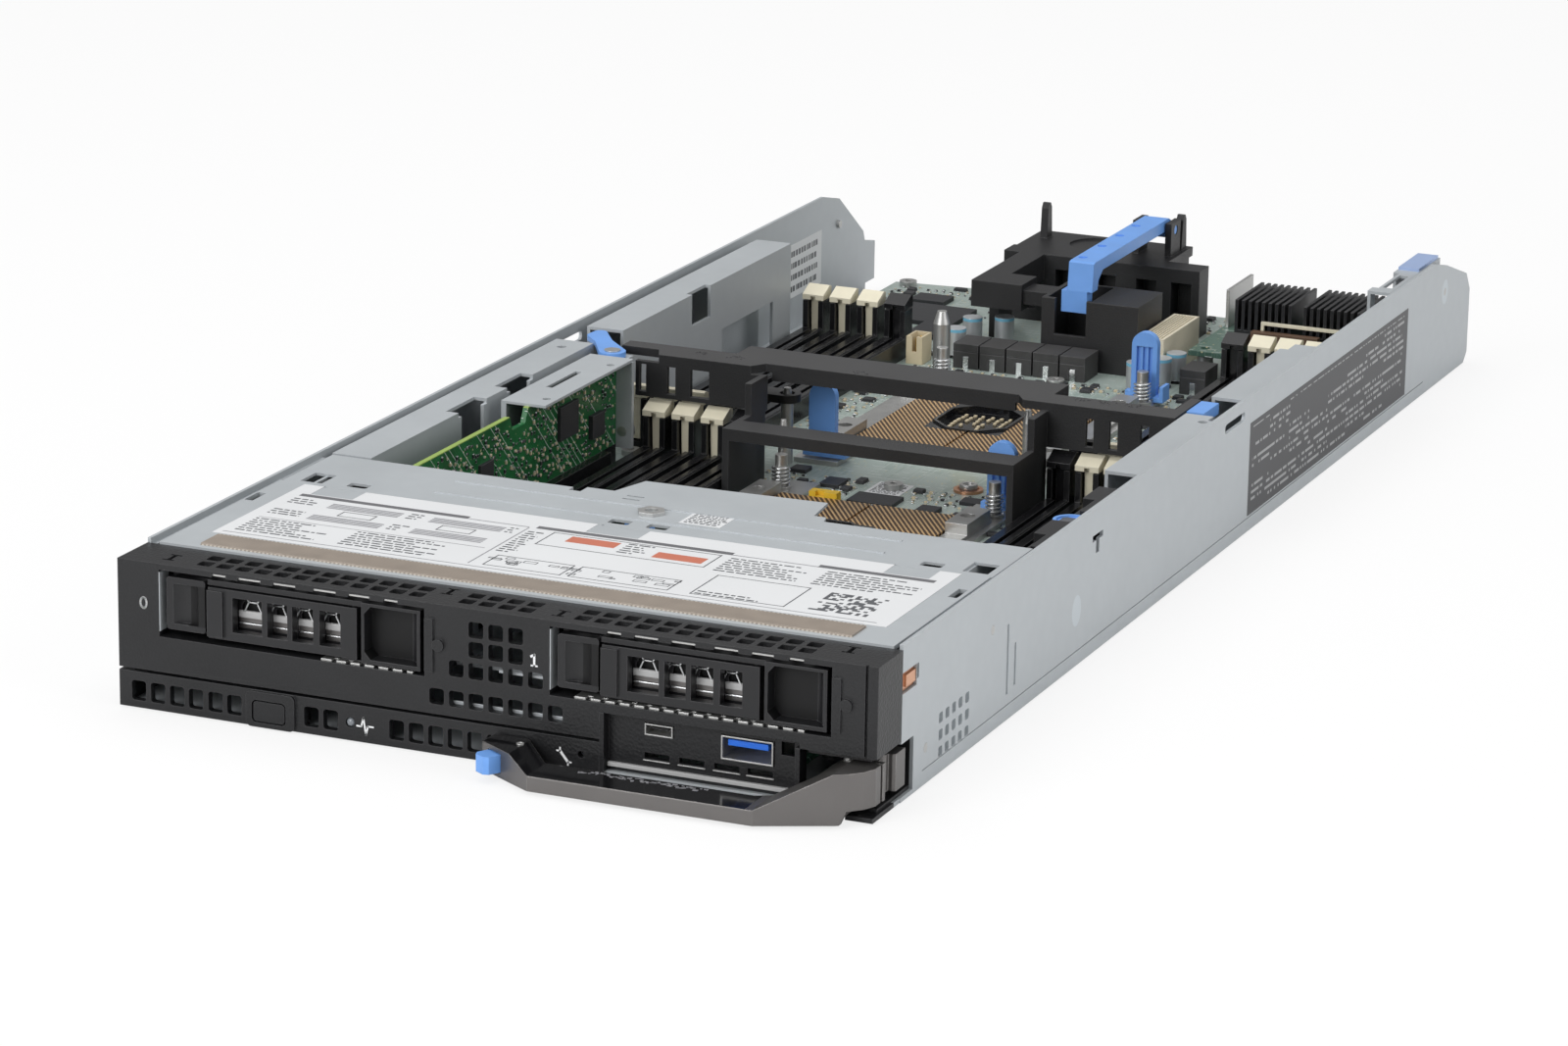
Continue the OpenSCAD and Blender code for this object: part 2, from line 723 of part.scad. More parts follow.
// Contact fields with their windows, split along the middle
module cpu_sockets() {
    for (p = cpu_at) translate([p[0], p[1], board_top]) {
        color([0.55, 0.38, 0.2]) difference() {
            linear_extrude(field_top - board_top) difference() {
                square([field_w, field_len], center = true);
                translate([-2, 2]) octagon(24, 30, 7);
            }
            translate([-0.4, -field_len / 2 - cut, 2.2]) cube([0.8, field_len + 2 * cut, 2]);
        }
        color(black_plastic) translate([-2, 2]) linear_extrude(1) octagon(24, 30, 7);
        color(black_plastic) translate([-2, 2, 1]) linear_extrude(field_top - board_top - 0.4)
            difference() {
                octagon(24, 30, 7);
                octagon(22, 28, 6.5);
            }
    }
}

bolster_w = 76;
bolster_len = 114;
bolster_t = 1.5;
bolster_z = board_top + bolster_t;
stud_at = [for (x = [-32, 34.5], y = [-46.5, 46.5]) [x, y]];

module spring_stud() {
    cylinder(r = 1.8, h = 10.5);
    cylinder(r = 3, h = 1.2);
}

// Metal frames around the sockets with leaf springs and threaded studs
module bolster_plates() {
    for (p = cpu_at) translate([p[0], p[1], board_top]) color(steel) {
        linear_extrude(bolster_t) difference() {
            square([bolster_w, bolster_len], center = true);
            square([field_w + 0.6, field_len + 0.6], center = true);
            for (s = [-1, 1]) translate([-24, s * 50.3 - 7]) square([49, 14]);
        }
        translate([0, 0, bolster_t]) for (sx = [-1, 1]) {
            translate([sx * 32.4 - 3.4, -41, 0]) cube([6.8, 82, 1]);
            for (y = [-40, 22]) translate([sx * 32.4 - 3.4, y, 1]) difference() {
                cube([6.8, 18, 3.2]);
                translate([3.4, 9, 1]) cylinder(r = 2.2, h = 4, $fn = 24);
            }
        }
        for (s = stud_at) translate([s[0], s[1], bolster_t]) spring_stud();
    }
}

// Each post: place, radius, foot and tip
posts = [
    [[-25, 245], 1.5, bolster_z, 26.7], [[42.5, 140.5], 1.5, bolster_z, 26.7],
    [[39, 276.5], 1.5, bolster_z, 29.7], [[-30.3, 382.8], 2.7, bolster_z, 28],
    [[-35, 271], 1.85, board_top, 29]];

module guide_posts() {
    color(steel) for (p = posts) translate([p[0][0], p[0][1], p[2]]) {
        cylinder(r = p[1], h = p[3] - p[2] - 4);
        translate([0, 0, p[3] - p[2] - 4]) cylinder(r1 = p[1], r2 = p[1] * 0.55, h = 4);
    }
}

// Blue spring clip: a ribbed blade on a foot, with a wing on one side
module cpu_clip(p, dir, top) {
    color(touch_blue) translate([p[0], p[1], 0]) scale([1, dir, 1]) {
        difference() {
            union() {
                span([-4.2, 4.2], [0, 2.6], [8, top - 4.2]);
                translate([0, 2.6, top - 4.2]) rotate([90, 0, 0]) cylinder(r = 4.2, h = 2.6);
            }
            span([-2.6, 2.6], [-cut, 1.2], [12, top - 4.6]);
        }
        for (x = [-1.2, 0.6]) span([x, x + 0.6], [0.3, 1.2], [12, top - 4.6]);
        span([-6, -4.2], [0, 2.6], [8, 10]);
        span([4.2, 7.6], [-3.4, 2.6], [8, 9.4]);
        span([6.4, 7.6], [-3.4, 2.6], [9.4, 13]);
    }
}

module cpu_clip_front_left() { cpu_clip([-22.5, 140.6], -1, 28.4); }
module cpu_clip_front_right() { cpu_clip([43.2, 244.3], 1, 28.4); }
module cpu_clip_rear_left() { cpu_clip([-25.4, 277.4], -1, 30.6); }
module cpu_clip_rear_right() { cpu_clip([37.5, 381.8], 1, 29); }

// Memory columns: left ones 9.4 mm apart, right ones 8.7 mm
columns_front = concat([for (k = [0 : 3]) -67.5 + 9.4 * k], [for (k = [0 : 3]) 59.6 + 8.7 * k]);
columns_rear = concat([for (k = [0 : 3]) -81.8 + 9.4 * k], [for (k = [0 : 3]) 59.6 + 8.7 * k]);
bank_front = 111.8;
bank_rear = 265.3;
tower_len = 6.6;
cheek_x = 1.8;
cap_gap = 0.4;

// Socket along Y from its front end: body with a key slot, and two end towers
module dimm_socket() {
    difference() {
        span([-dimm_w / 2, dimm_w / 2], [0, dimm_len], [board_top, dimm_top]);
        span([-0.8, 0.8], [tower_len, dimm_len - tower_len], [dimm_top - 4, dimm_top + cut]);
        for (y = [-cut, dimm_len - tower_len])
            span([-cheek_x, cheek_x], [y, y + tower_len + cut], [board_top + 2.4, dimm_top + cut]);
    }
    for (y = [0, dimm_len - tower_len], s = [-1, 1])
        span([min(s * dimm_w / 2, s * cheek_x), max(s * dimm_w / 2, s * cheek_x)],
            [y, y + tower_len], [dimm_top, tower_top]);
    span([2.2, 2.8], [tower_len, dimm_len - tower_len], [dimm_top, dimm_top + 0.3]);
}

module dimm_sockets() {
    color(black_plastic) {
        for (x = columns_front) translate([x, bank_front, 0]) dimm_socket();
        for (x = columns_rear) translate([x, bank_rear, 0]) dimm_socket();
    }
}

// Ejector seen from its own end: stem in the tower and a cap above it
module ejector() {
    difference() {
        union() {
            sideways([-1.4, 1.4]) polygon([
                [0.6, board_top + 3], [4, board_top + 3], [4.6, tower_top], [0.6, tower_top]]);
            sideways([-3.6, 3.6]) polygon([
                [0, tower_top + cap_gap], [6.9, tower_top + cap_gap], [6.9, 23.6], [1.4, 26],
                [0, 25.6]]);
            span([-1.4, 1.4], [0.6, 4.6], [tower_top, tower_top + cap_gap]);
        }
        span([-0.8, 0.8], [5.2, 7.5], [tower_top - cut, 23]);
    }
}

// A row of ejectors, at the fore or the aft end of a bank
module ejector_row(columns, y, dir) {
    for (k = [0 : len(columns) - 1])
        color(k == 3 || k == 4 ? black_plastic : ivory)
            translate([columns[k], y, 0]) scale([1, dir, 1]) ejector();
}

module latches_front_fore() { ejector_row(columns_front, bank_front, 1); }
module latches_front_aft() { ejector_row(columns_front, bank_front + dimm_len, -1); }
module latches_rear_fore() { ejector_row(columns_rear, bank_rear, 1); }
module latches_rear_aft() { ejector_row(columns_rear, bank_rear + dimm_len, -1); }

// Each chip: left, front, width, depth and height above the board
chips = [
    [-74, 444.5, 23, 22.5, 1.5], [-76.5, 471, 12, 9.5, 1.5], [-60.5, 428.5, 13, 16, 1.5],
    [-2, 238, 14, 10, 1.2], [20, 236.6, 6, 6, 1.4], [-16, 251, 6, 8, 1.2], [28, 251, 8, 5, 1.2],
    [-40, 416, 7, 5, 1.4], [-20, 448, 10, 10, 1.6], [60, 478, 14, 12, 1.5], [-30, 262, 5, 5, 1.2]];

module board_chips() {
    color([0.3, 0.31, 0.32]) for (c = chips)
        span([c[0], c[0] + c[2]], [c[1], c[1] + c[3]], [board_top, board_top + c[4]]);
}

inductor_at = [[-28, 404], [-19, 404], [-10, 404], [-1, 404], [8, 404], [47.5, 405]];

module power_inductors() {
    color([0.2, 0.2, 0.21]) for (p = inductor_at) translate([p[0], p[1], board_top]) {
        difference() {
            translate([-4.2, -6, 0]) cube([8.4, 12, 8]);
            translate([-1.2, -6 - cut, -cut]) cube([2.4, 1, 4.5]);
            translate([-5, -7, 5.4]) cube([10, 1.2, 0.3]);
        }
    }
    color(steel) for (p = inductor_at)
        translate([p[0] - 1.1, p[1] - 5.9, board_top]) cube([2.2, 0.4, 3.8]);
}

capacitor_at = [[-37, 427], [-28, 432], [35.4, 404.5], [37.4, 412.6], [-36.5, 411.5], [30, 396]];

module capacitors() {
    color([0.75, 0.76, 0.78]) for (p = capacitor_at) translate([p[0], p[1], board_top]) {
        cylinder(r = 3.15, h = 1);
        translate([0, 0, 1]) cylinder(r = 2.95, h = 0.8);
        translate([0, 0, 1.8]) cylinder(r = 3.15, h = 7.7);
    }
}

// Pin headers, a power header and the two yellow keys beside the sockets
module board_headers() {
    color(ivory) difference() {
        span([-47.5, -42], [396, 404], [board_top, 15]);
        span([-46.7, -42.8], [396.8, 403.2], [8, 15 + cut]);
        span([-45.5, -44], [395, 397], [10, 15 + cut]);
    }
    color([0.8, 0.65, 0.3]) for (y = [398.2, 400, 401.8])
        span([-45.1, -44.5], [y - 0.3, y + 0.3], [8, 14]);
    color([0.95, 0.75, 0.15]) {
        difference() {
            span([-11, -2.4], [231.6, 235], [bolster_z, 10.4]);
            span([-9, -6.4], [231, 233], [9, 11]);
        }
        span([12, 19], [286.5, 290.4], [bolster_z, 10.4]);
    }
}

// Blue ring around a grey captive disc, on a stem
module pull_ring() {
    translate([98.9, 151.5, 0]) {
        color([0.4, 0.4, 0.42]) {
            cylinder_from(2.4, floor_t, 33.5);
            cylinder_from(4.3, 33.5, 36);
        }
        color(touch_blue) difference() {
            cylinder_from(5.2, 33.5, 36.6);
            cylinder_from(4.3, 33, 37);
        }
    }
}

module cylinder_from(r, z0, z1) {
    translate([0, 0, z0]) cylinder(r = r, h = z1 - z0);
}

// Stepped moulding beside the front right memory bank
module side_card_guides() {
    color(black_plastic) {
        for (y = [[120, 145.8], [157.2, 182]]) difference() {
            span([95.4, 103.4], y, [floor_t, 37.6]);
            span([95, 99], [y[0] - cut, y[0] + 12], [34.8, 38]);
            span([96.6, 102.2], [y[0] + 1.4, y[1] - 1.4], [floor_t - cut, 33]);
            span([100.6, 104], [y[1] - 6, y[1] - 4], [35.5, 38]);
        }
        span([102.2, 103.4], [145.8, 157.2], [20, 32]);
    }
}

guide_z = [37.5, 40];
wall_y = [250.4, 252];
guide_leg = [[-35.2, -33.2], [52.6, 54.6]];
comb_windows = [[-73.8, -71.6], [-64.8, -62.1], [-57.3, -51.3], [66.3, 68.7], [73.4, 76],
    [82.8, 85.4]];

// Bridge over the middle of the board: top bar, comb walls, legs and cross bar
module air_guide() {
    color(black_plastic) {
        level(guide_z) polygon([
            [-82, 262], [-82, 256], [-70, 256], [-67.5, 250.4], [-38, 250.4], [-35, 255],
            [44, 255], [47, 250.4], [93, 250.4], [93, 273], [90, 273], [90, 260], [53, 260],
            [53, 272], [-47.5, 272], [-47.5, 262]]);
        difference() {
            union() {
                span([-75, guide_leg[0][1]], wall_y, [26.9, guide_z[0]]);
                span([guide_leg[1][0], 92], wall_y, [26.9, guide_z[0]]);
            }
            for (w = comb_windows) span(w, [249, 253], [28.3, 36.6]);
        }
        for (x = guide_leg) {
            span(x, [224, wall_y[0]], [board_top, 28]);
            span(x, [240, wall_y[0]], [28, guide_z[0]]);
        }
        span([guide_leg[0][1], guide_leg[1][0]], [224, 234], [26.2, 28]);
        span([guide_leg[0][1], guide_leg[1][0]], [224, 225.4], [24.4, 26.2]);
        span([-33.2, 43], [255, 256.4], [35, guide_z[0]]);
        span([-46, 51.6], [270.6, 272], [34, guide_z[0]]);
        span([-47.5, -46], [262, 272], [27.4, guide_z[0]]);
        span([51.6, 53], [256.4, 272], [28, guide_z[0]]);
        difference() {
            union() {
                span([-47.5, -35], [267, 275], [25, 27.4]);
                translate([-35, 271, 25]) cylinder(r = 4.1, h = 2.4);
            }
            translate([-35, 271, 24]) cylinder(r = 2.3, h = 5);
        }
    }
}

// Blue tongue that locks the air guide to the right rail
module guide_latch() {
    color(touch_blue) {
        span([93.3, 98.6], [259.5, 272.5], [38.4, 39.8]);
        span([97.2, 98.6], [259.5, 272.5], [36.6, 38.4]);
    }
}

card_x = [-78.5, -76.9];
card_y = [113, 241];
card_top = 39.2;

// Upright controller card in its board connector
module controller_card() {
    color(board_green) sideways(card_x) polygon([
        [card_y[0], 8], [card_y[1], 8], [card_y[1], card_top], [182, card_top], [180, 35],
        [172, 35], [170, card_top], [card_y[0], card_top]]);
    color(black_plastic) difference() {
        span([-81.5, -74.2], [150, 232], [board_top, 14]);
        span(card_x, [150 - cut, 232 + cut], [8, 14 + cut]);
    }
    color([0.1, 0.1, 0.11]) {
        span([card_x[1], card_x[1] + 1.2], [201, 213], [24.5, 34.5]);
        span([card_x[1], card_x[1] + 1], [150, 158], [22, 30]);
        span([card_x[1], card_x[1] + 1.6], [222, 230], [20, 27]);
        span([card_x[0] - 2.4, card_x[0]], [186, 216], [17, 35]);
    }
}

latch_pivot = [-81, 247];

// Folded bracket over the card, with the seat of the blue latch
module card_bracket() {
    color(zinc) {
        difference() {
            span([-86, -72], [183, 242.4], [card_top, 40]);
            span([-81, -79], [202, 222], [39, 41]);
            for (y = [190, 233]) translate([-75, y, 39]) cylinder(r = 1.2, h = 2);
        }
        difference() {
            span([-82, -71.8], [card_y[1], 242.4], [13, card_top]);
            translate([-75, 240, 18]) rotate([-90, 0, 0]) cylinder(r = 1.6, h = 5);
        }
        difference() {
            span([-86, -76], [242.4, 251], [37.6, 38.6]);
            translate([latch_pivot[0], latch_pivot[1], 37]) cylinder(r = 1.2, h = 3);
        }
        span([-86, -84.4], [183, 240], [30, card_top]);
    }
}

latch_z = [38.8, 40.4];

// Curved blue latch between the card bracket and the left rail
module card_latch() {
    color(touch_blue) difference() {
        level(latch_z) {
            hull() {
                translate(latch_pivot) circle(4);
                translate([-88.4, 256.8]) circle(2.6);
            }
            hull() {
                translate([-88.4, 256.8]) circle(2.6);
                translate([-93.4, 262]) circle(2.6);
                translate([-93.8, 266]) circle(2);
            }
        }
        translate([latch_pivot[0], latch_pivot[1], 38]) cylinder(r = 1.25, h = 4);
    }
}

// ---------------------------------------------------------------- rear module

frame_top = 28.6;
lever_axis = [486.5, 36.8];
cheeks = [[-3, -0.9], [8.3, 10.4]];

// Black shroud of the rear card
module mezz_frame() {
    color(black_plastic) {
        difference() {
            span([-8, 24.3], [412, 435], [board_top, frame_top]);
            span([-6.5, 22.8], [413.5, 433.5], [board_top - cut, frame_top - 1.6]);
            span([-6.5, 8.5], [413.5, 433.5], [frame_top - 3, frame_top + cut]);
            span([-3.6, 7], [411, 414], [17, frame_top + cut]);
        }
        span([-36.4, -19.2], [423.4, 437], [20, frame_top]);
        span([-36.4, -28], [437, 467], [20, frame_top]);
        span([-36.4, -33], [440, 452], [board_top, 20]);
        span([-19.2, -8], [425, 435], [22, frame_top - 2]);
        difference() {
            span([-42, 25.7], [467, 476], [board_top, frame_top]);
            for (x = [-38, -24, -10, 4, 16]) span([x, x + 7], [466, 474.6], [10, 24]);
        }
        difference() {
            span([-41, 12], [476, 499.5], [frame_top - 3, frame_top]);
            translate([-17, 488, frame_top - 0.7]) cylinder(r = 9.4, h = 2);
        }
        span([-41, -39.4], [476, 499.5], [board_top, frame_top - 3]);
        span([10.4, 12], [476, 496], [board_top, frame_top - 3]);
        for (p = [[-36.4, 491], [9.4, 494.5]])
            translate([p[0], p[1], frame_top]) sideways([-1.2, 1.2])
                polygon([[-2.4, 0], [2.4, 0], [1.6, 10], [0.6, 11.6], [-0.6, 11.6], [-1.6, 10]]);
        difference() {
            for (c = cheeks) span(c, [482, 491], [frame_top, 39.6]);
            translate([-5, lever_axis[0], lever_axis[1]]) rotate([0, 90, 0]) cylinder(r = 1.58, h = 20);
        }
    }
}

// Blue bail that swings up from the rear of the shroud
module mezz_handle() {
    color(touch_blue) {
        difference() {
            union() {
                sideways([-0.5, 7.9]) polygon([
                    [414.6, 31], [415.6, 40], [417, 40.4], [486.5, 40.4], [488.8, 39.2],
                    [489.6, 36.8], [488.6, 34.6], [486.5, 33.9], [484, 34.6], [482.4, 36.6],
                    [424, 36.6], [420.2, 34], [419.4, 31]]);
                span([-2.4, 6.2], [414.6, 419.4], [24, 31]);
            }
            for (y = [422, 439.5, 456, 471.5])
                translate([1.8, y, 39.6]) cylinder(r = 1.5, h = 2, $fn = 24);
            span([1.6, 5.8], [430, 478], [36, 38.6]);
        }
        translate([-2.8, lever_axis[0], lever_axis[1]]) rotate([0, 90, 0]) cylinder(r = 1.5, h = 13);
    }
}

card_z = [15, 16.6];

// Rear card on its stand-offs, with the array connector and the edge strip
module network_card() {
    color(board_green) difference() {
        span([41, 92.8], [413, 472], card_z);
        for (x = [45, 88], y = [418, 466]) translate([x, y, 14]) cylinder(r = 1.5, h = 4);
    }
    color(steel) for (x = [45, 88], y = [418, 466]) translate([x, y, board_top]) difference() {
        cylinder(r = 2.6, h = card_z[0] - board_top);
        cylinder(r = 1.5, h = 12);
    }
    color([0.75, 0.68, 0.52]) difference() {
        span([25, 33.6], [411, 445], [board_top, 19.5]);
        for (k = [0 : 6]) span([26 + k, 26.5 + k], [412, 444], [18.9, 20]);
    }
    color([0.4, 0.28, 0.22]) span([57, 79], [426, 429], [card_z[1], 21.4]);
    color(steel) span([42, 43], [446, 470], [card_z[1], 29]);
}

// Two finned coolers on the rear card
module card_heatsinks() {
    color([0.12, 0.12, 0.13]) for (x = [50, 72.6]) {
        span([x, x + 18.6], [431, 457], [card_z[1], 20.4]);
        for (k = [0 : 8]) span([x + 2.2 * k, x + 2.2 * k + 1], [431, 457], [20.4, 30]);
    }
    color([0.85, 0.82, 0.7]) {
        span([59.2, 60.2], [429.6, 430.8], [card_z[1], 23]);
        span([59.2, 88], [429.6, 430.8], [23, 24]);
        span([87, 88], [429.6, 430.8], [card_z[1], 23]);
    }
}

module screw_head(r, h, drive_r) {
    difference() {
        cylinder(r = r, h = h);
        translate([0, 0, h - 0.8]) cylinder(r = drive_r, h = 2, $fn = 6);
    }
}

plate_screw_at = [[77, 27.5], [32, 9.5], [475, 29]];

// Screws of the board, the plates and the deck, and the latch rivet
module chassis_screws() {
    color(steel) {
        for (p = screw_at) translate([p[0], p[1], 0]) {
            translate([0, 0, board_z - 2]) cylinder(r = 1.2, h = board_top - board_z + 2);
            translate([0, 0, board_top]) screw_head(2.9, 1.8, 1.2);
        }
        translate([0.5, 97, deck_z[1]]) difference() {
            cylinder(r = 4, h = 0.95, $fn = 6);
            translate([0, 0, -cut]) cylinder(r = 1.8, h = 3);
        }
        for (s = [-1, 1], p = plate_screw_at)
            translate([s * (half_w - 2), p[0], p[1]]) rotate([0, s * 90, 0]) cylinder(r = 1.25, h = 2);
        translate([latch_pivot[0], latch_pivot[1], 37.2]) cylinder(r = 1.2, h = latch_z[1] - 37.2);
        translate([latch_pivot[0], latch_pivot[1], latch_z[1]]) cylinder(r = 2.4, h = 0.4);
        translate([-75, 241, 18]) rotate([-90, 0, 0]) cylinder(r = 1.6, h = 1.4);
        translate([-75, 242.4, 18]) rotate([-90, 0, 0]) screw_head(3, 1.6, 1.3);
    }
}

// The row's frame stands at the middle of the sled's footprint
module placed() {
    translate([0, -mid_y, 0]) children();
}

placed() base_pan();
placed() left_side_plate();
placed() right_side_plate();
placed() left_guide_rails();
placed() right_guide_rails();
placed() rear_guide_bracket();
placed() front_bezel();
placed() lower_vent_strip();
placed() port_panel();
placed() usb_ports();
placed() front_io_board();
placed() drive_bay_cover();
placed() rear_deck();
placed() cover_gasket();
placed() drive_cage();
placed() backplane_board();
placed() contact_springs();
placed() ground_spring();
placed() handle_bracket();
placed() handle_pivot_pin();
placed() motherboard();
placed() cpu_sockets();
placed() bolster_plates();
placed() guide_posts();
placed() dimm_sockets();
placed() board_chips();
placed() power_inductors();
placed() capacitors();
placed() board_headers();
placed() pull_ring();
placed() side_card_guides();
placed() air_guide();
placed() controller_card();
placed() card_bracket();
placed() mezz_frame();
placed() network_card();
placed() card_heatsinks();
placed() chassis_screws();
placed() mezz_handle();
placed() power_button();
placed() sled_handle();
placed() handle_release();
placed() drive_0_carrier();
placed() drive_0_disk();
placed() drive_0_lever();
placed() drive_0_release();
placed() drive_1_carrier();
placed() drive_1_disk();
placed() drive_1_lever();
placed() drive_1_release();
placed() card_latch();
placed() guide_latch();
placed() cpu_clip_front_left();
placed() cpu_clip_front_right();
placed() cpu_clip_rear_left();
placed() cpu_clip_rear_right();
placed() latches_front_fore();
placed() latches_front_aft();
placed() latches_rear_fore();
placed() latches_rear_aft();
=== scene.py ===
"""Looks of a half-width blade server sled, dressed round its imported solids."""

import logging
import math
import random
from collections.abc import Callable, Iterable, Sequence
from dataclasses import dataclass
from enum import Enum

import bmesh
import bpy
from mathutils import Matrix, Vector


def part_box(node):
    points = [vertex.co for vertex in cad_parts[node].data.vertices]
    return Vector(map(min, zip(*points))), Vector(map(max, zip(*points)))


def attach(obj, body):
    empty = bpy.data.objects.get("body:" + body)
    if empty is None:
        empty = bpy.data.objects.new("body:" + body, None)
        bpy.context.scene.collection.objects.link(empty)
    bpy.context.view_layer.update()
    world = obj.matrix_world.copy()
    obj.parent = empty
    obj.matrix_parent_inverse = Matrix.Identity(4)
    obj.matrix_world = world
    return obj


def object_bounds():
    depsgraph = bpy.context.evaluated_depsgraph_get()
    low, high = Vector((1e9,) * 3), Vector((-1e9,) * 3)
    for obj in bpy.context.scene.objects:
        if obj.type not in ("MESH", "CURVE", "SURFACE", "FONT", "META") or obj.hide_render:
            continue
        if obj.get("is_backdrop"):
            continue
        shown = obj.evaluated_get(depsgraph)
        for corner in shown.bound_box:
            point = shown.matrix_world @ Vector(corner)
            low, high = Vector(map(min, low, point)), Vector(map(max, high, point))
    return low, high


LOG = logging.getLogger("sled")
MM = 0.001

Colour = tuple[float, float, float]
Point = tuple[float, float, float]
Rect = tuple[float, float, float, float]
Value = float | bpy.types.NodeSocket
Tint = Colour | bpy.types.NodeSocket

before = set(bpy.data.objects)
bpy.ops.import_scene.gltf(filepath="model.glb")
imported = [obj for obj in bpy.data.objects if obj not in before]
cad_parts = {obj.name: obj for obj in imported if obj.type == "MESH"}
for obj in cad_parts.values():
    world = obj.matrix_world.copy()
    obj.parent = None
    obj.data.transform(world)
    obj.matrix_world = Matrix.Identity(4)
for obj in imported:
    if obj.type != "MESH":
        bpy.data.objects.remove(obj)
cad_low, cad_high = (list(corner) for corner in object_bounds())
FRONT = cad_low[1] / MM + 17.5
"""Place of the bezel's face along Y, in millimetres."""


# ------------------------------------------------------------------ materials

class Grain(Enum):
    """The fine relief of a surface."""

    SMOOTH = "smooth"
    FINE = "fine"
    BRUSHED = "brushed"
    SPANGLED = "spangled"
    PEBBLED = "pebbled"


@dataclass
class Layer:
    """What one finish gives the shader, as values or as sockets."""

    colour: Tint
    metallic: Value
    roughness: Value
    height: Value


class Brush:
    """A material in the making, with short calls for its nodes."""

    def __init__(self, name: str) -> None:
        """Starts an empty material.

        Args:
            name: The material's name.
        """
        self.material = bpy.data.materials.new(name)
        self.material.use_nodes = True
        self.tree = self.material.node_tree
        self.tree.nodes.clear()
        place = self.tree.nodes.new("ShaderNodeTexCoord")
        self.point = self.vector("SCALE", place.outputs["Object"], scale=1 / MM)

    def put(self, socket: bpy.types.NodeSocket, value: Value | Tint) -> None:
        """Links a socket or sets its own value.

        Args:
            socket: The input to fill.
            value: A socket, a number or a colour.
        """
        if isinstance(value, bpy.types.NodeSocket):
            self.tree.links.new(value, socket)
        elif isinstance(value, (tuple, Vector)) and len(socket.default_value) == 4:
            socket.default_value = (*value, 1.0)
        else:
            socket.default_value = value

    def math(self, operation: str, *values: Value) -> bpy.types.NodeSocket:
        """Adds a Math node and returns its result."""
        node = self.tree.nodes.new("ShaderNodeMath")
        node.operation = operation
        for socket, value in zip(node.inputs, values):
            self.put(socket, value)
        return node.outputs[0]

    def vector(self, operation: str, *values: Value | Point, scale: float = 1.0) -> bpy.types.NodeSocket:
        """Adds a Vector Math node and returns its vector."""
        node = self.tree.nodes.new("ShaderNodeVectorMath")
        node.operation = operation
        for socket, value in zip(node.inputs, values):
            self.put(socket, value)
        if operation == "SCALE":
            node.inputs["Scale"].default_value = scale
        return node.outputs[0]

    def parts(self, vector: bpy.types.NodeSocket) -> tuple[bpy.types.NodeSocket, ...]:
        """Returns a vector's X, Y and Z."""
        node = self.tree.nodes.new("ShaderNodeSeparateXYZ")
        self.put(node.inputs[0], vector)
        return tuple(node.outputs)

    def joined(self, x: Value, y: Value, z: Value) -> bpy.types.NodeSocket:
        """Returns a vector made of three values."""
        node = self.tree.nodes.new("ShaderNodeCombineXYZ")
        for socket, value in zip(node.inputs, (x, y, z)):
            self.put(socket, value)
        return node.outputs[0]

    def mix(self, share: Value, first: Value, second: Value) -> Value:
        """Mixes two numbers by a share."""
        if first is second or (isinstance(first, float) and first == second):
            return first
        node = self.tree.nodes.new("ShaderNodeMix")
        self.put(node.inputs[0], share)
        self.put(node.inputs[2], first)
        self.put(node.inputs[3], second)
        return node.outputs[0]

    def tint(self, share: Value, first: Tint, second: Tint, blend: str = "MIX") -> bpy.types.NodeSocket:
        """Mixes two colours by a share."""
        node = self.tree.nodes.new("ShaderNodeMix")
        node.data_type = "RGBA"
        node.blend_type = blend
        self.put(node.inputs[0], share)
        self.put(node.inputs[6], first)
        self.put(node.inputs[7], second)
        return node.outputs[2]

    def noise(self, size: float, detail: float = 2.0, stretch: Point = (1, 1, 1)) -> bpy.types.NodeSocket:
        """Adds soft noise.

        Args:
            size: Size of its patches in millimetres.
            detail: How many finer octaves it has.
            stretch: How much the pattern is squeezed along each axis.

        Returns:
            A value from 0 to 1.
        """
        node = self.tree.nodes.new("ShaderNodeTexNoise")
        self.put(node.inputs["Vector"], self.vector("MULTIPLY", self.point, stretch))
        node.inputs["Scale"].default_value = 1 / size
        node.inputs["Detail"].default_value = detail
        return node.outputs[0]

    def cells(self, size: float, stretch: Point = (1, 1, 1)) -> bpy.types.Node:
        """Adds a cell pattern with cells of a size in millimetres."""
        node = self.tree.nodes.new("ShaderNodeTexVoronoi")
        self.put(node.inputs["Vector"], self.vector("MULTIPLY", self.point, stretch))
        node.inputs["Scale"].default_value = 1 / size
        return node

    def chance(self, u: Value, v: Value = 0.0) -> bpy.types.NodeSocket:
        """Returns a fixed random value for each whole pair of numbers."""
        node = self.tree.nodes.new("ShaderNodeTexWhiteNoise")
        node.noise_dimensions = "2D"
        self.put(node.inputs["Vector"], self.joined(self.math("FLOOR", u), self.math("FLOOR", v), 0.0))
        return node.outputs["Value"]

    def within(self, low: Point, high: Point) -> bpy.types.NodeSocket:
        """Returns 1 inside a box given in millimetres, and 0 outside it."""
        middle = (Vector(low) + Vector(high)) / 2
        half = (Vector(high) - Vector(low)) / 2
        away = self.vector("ABSOLUTE", self.vector("SUBTRACT", self.point, middle))
        x, y, z = self.parts(self.vector("SUBTRACT", away, half))
        return self.math("LESS_THAN", self.math("MAXIMUM", self.math("MAXIMUM", x, y), z), 0.0)

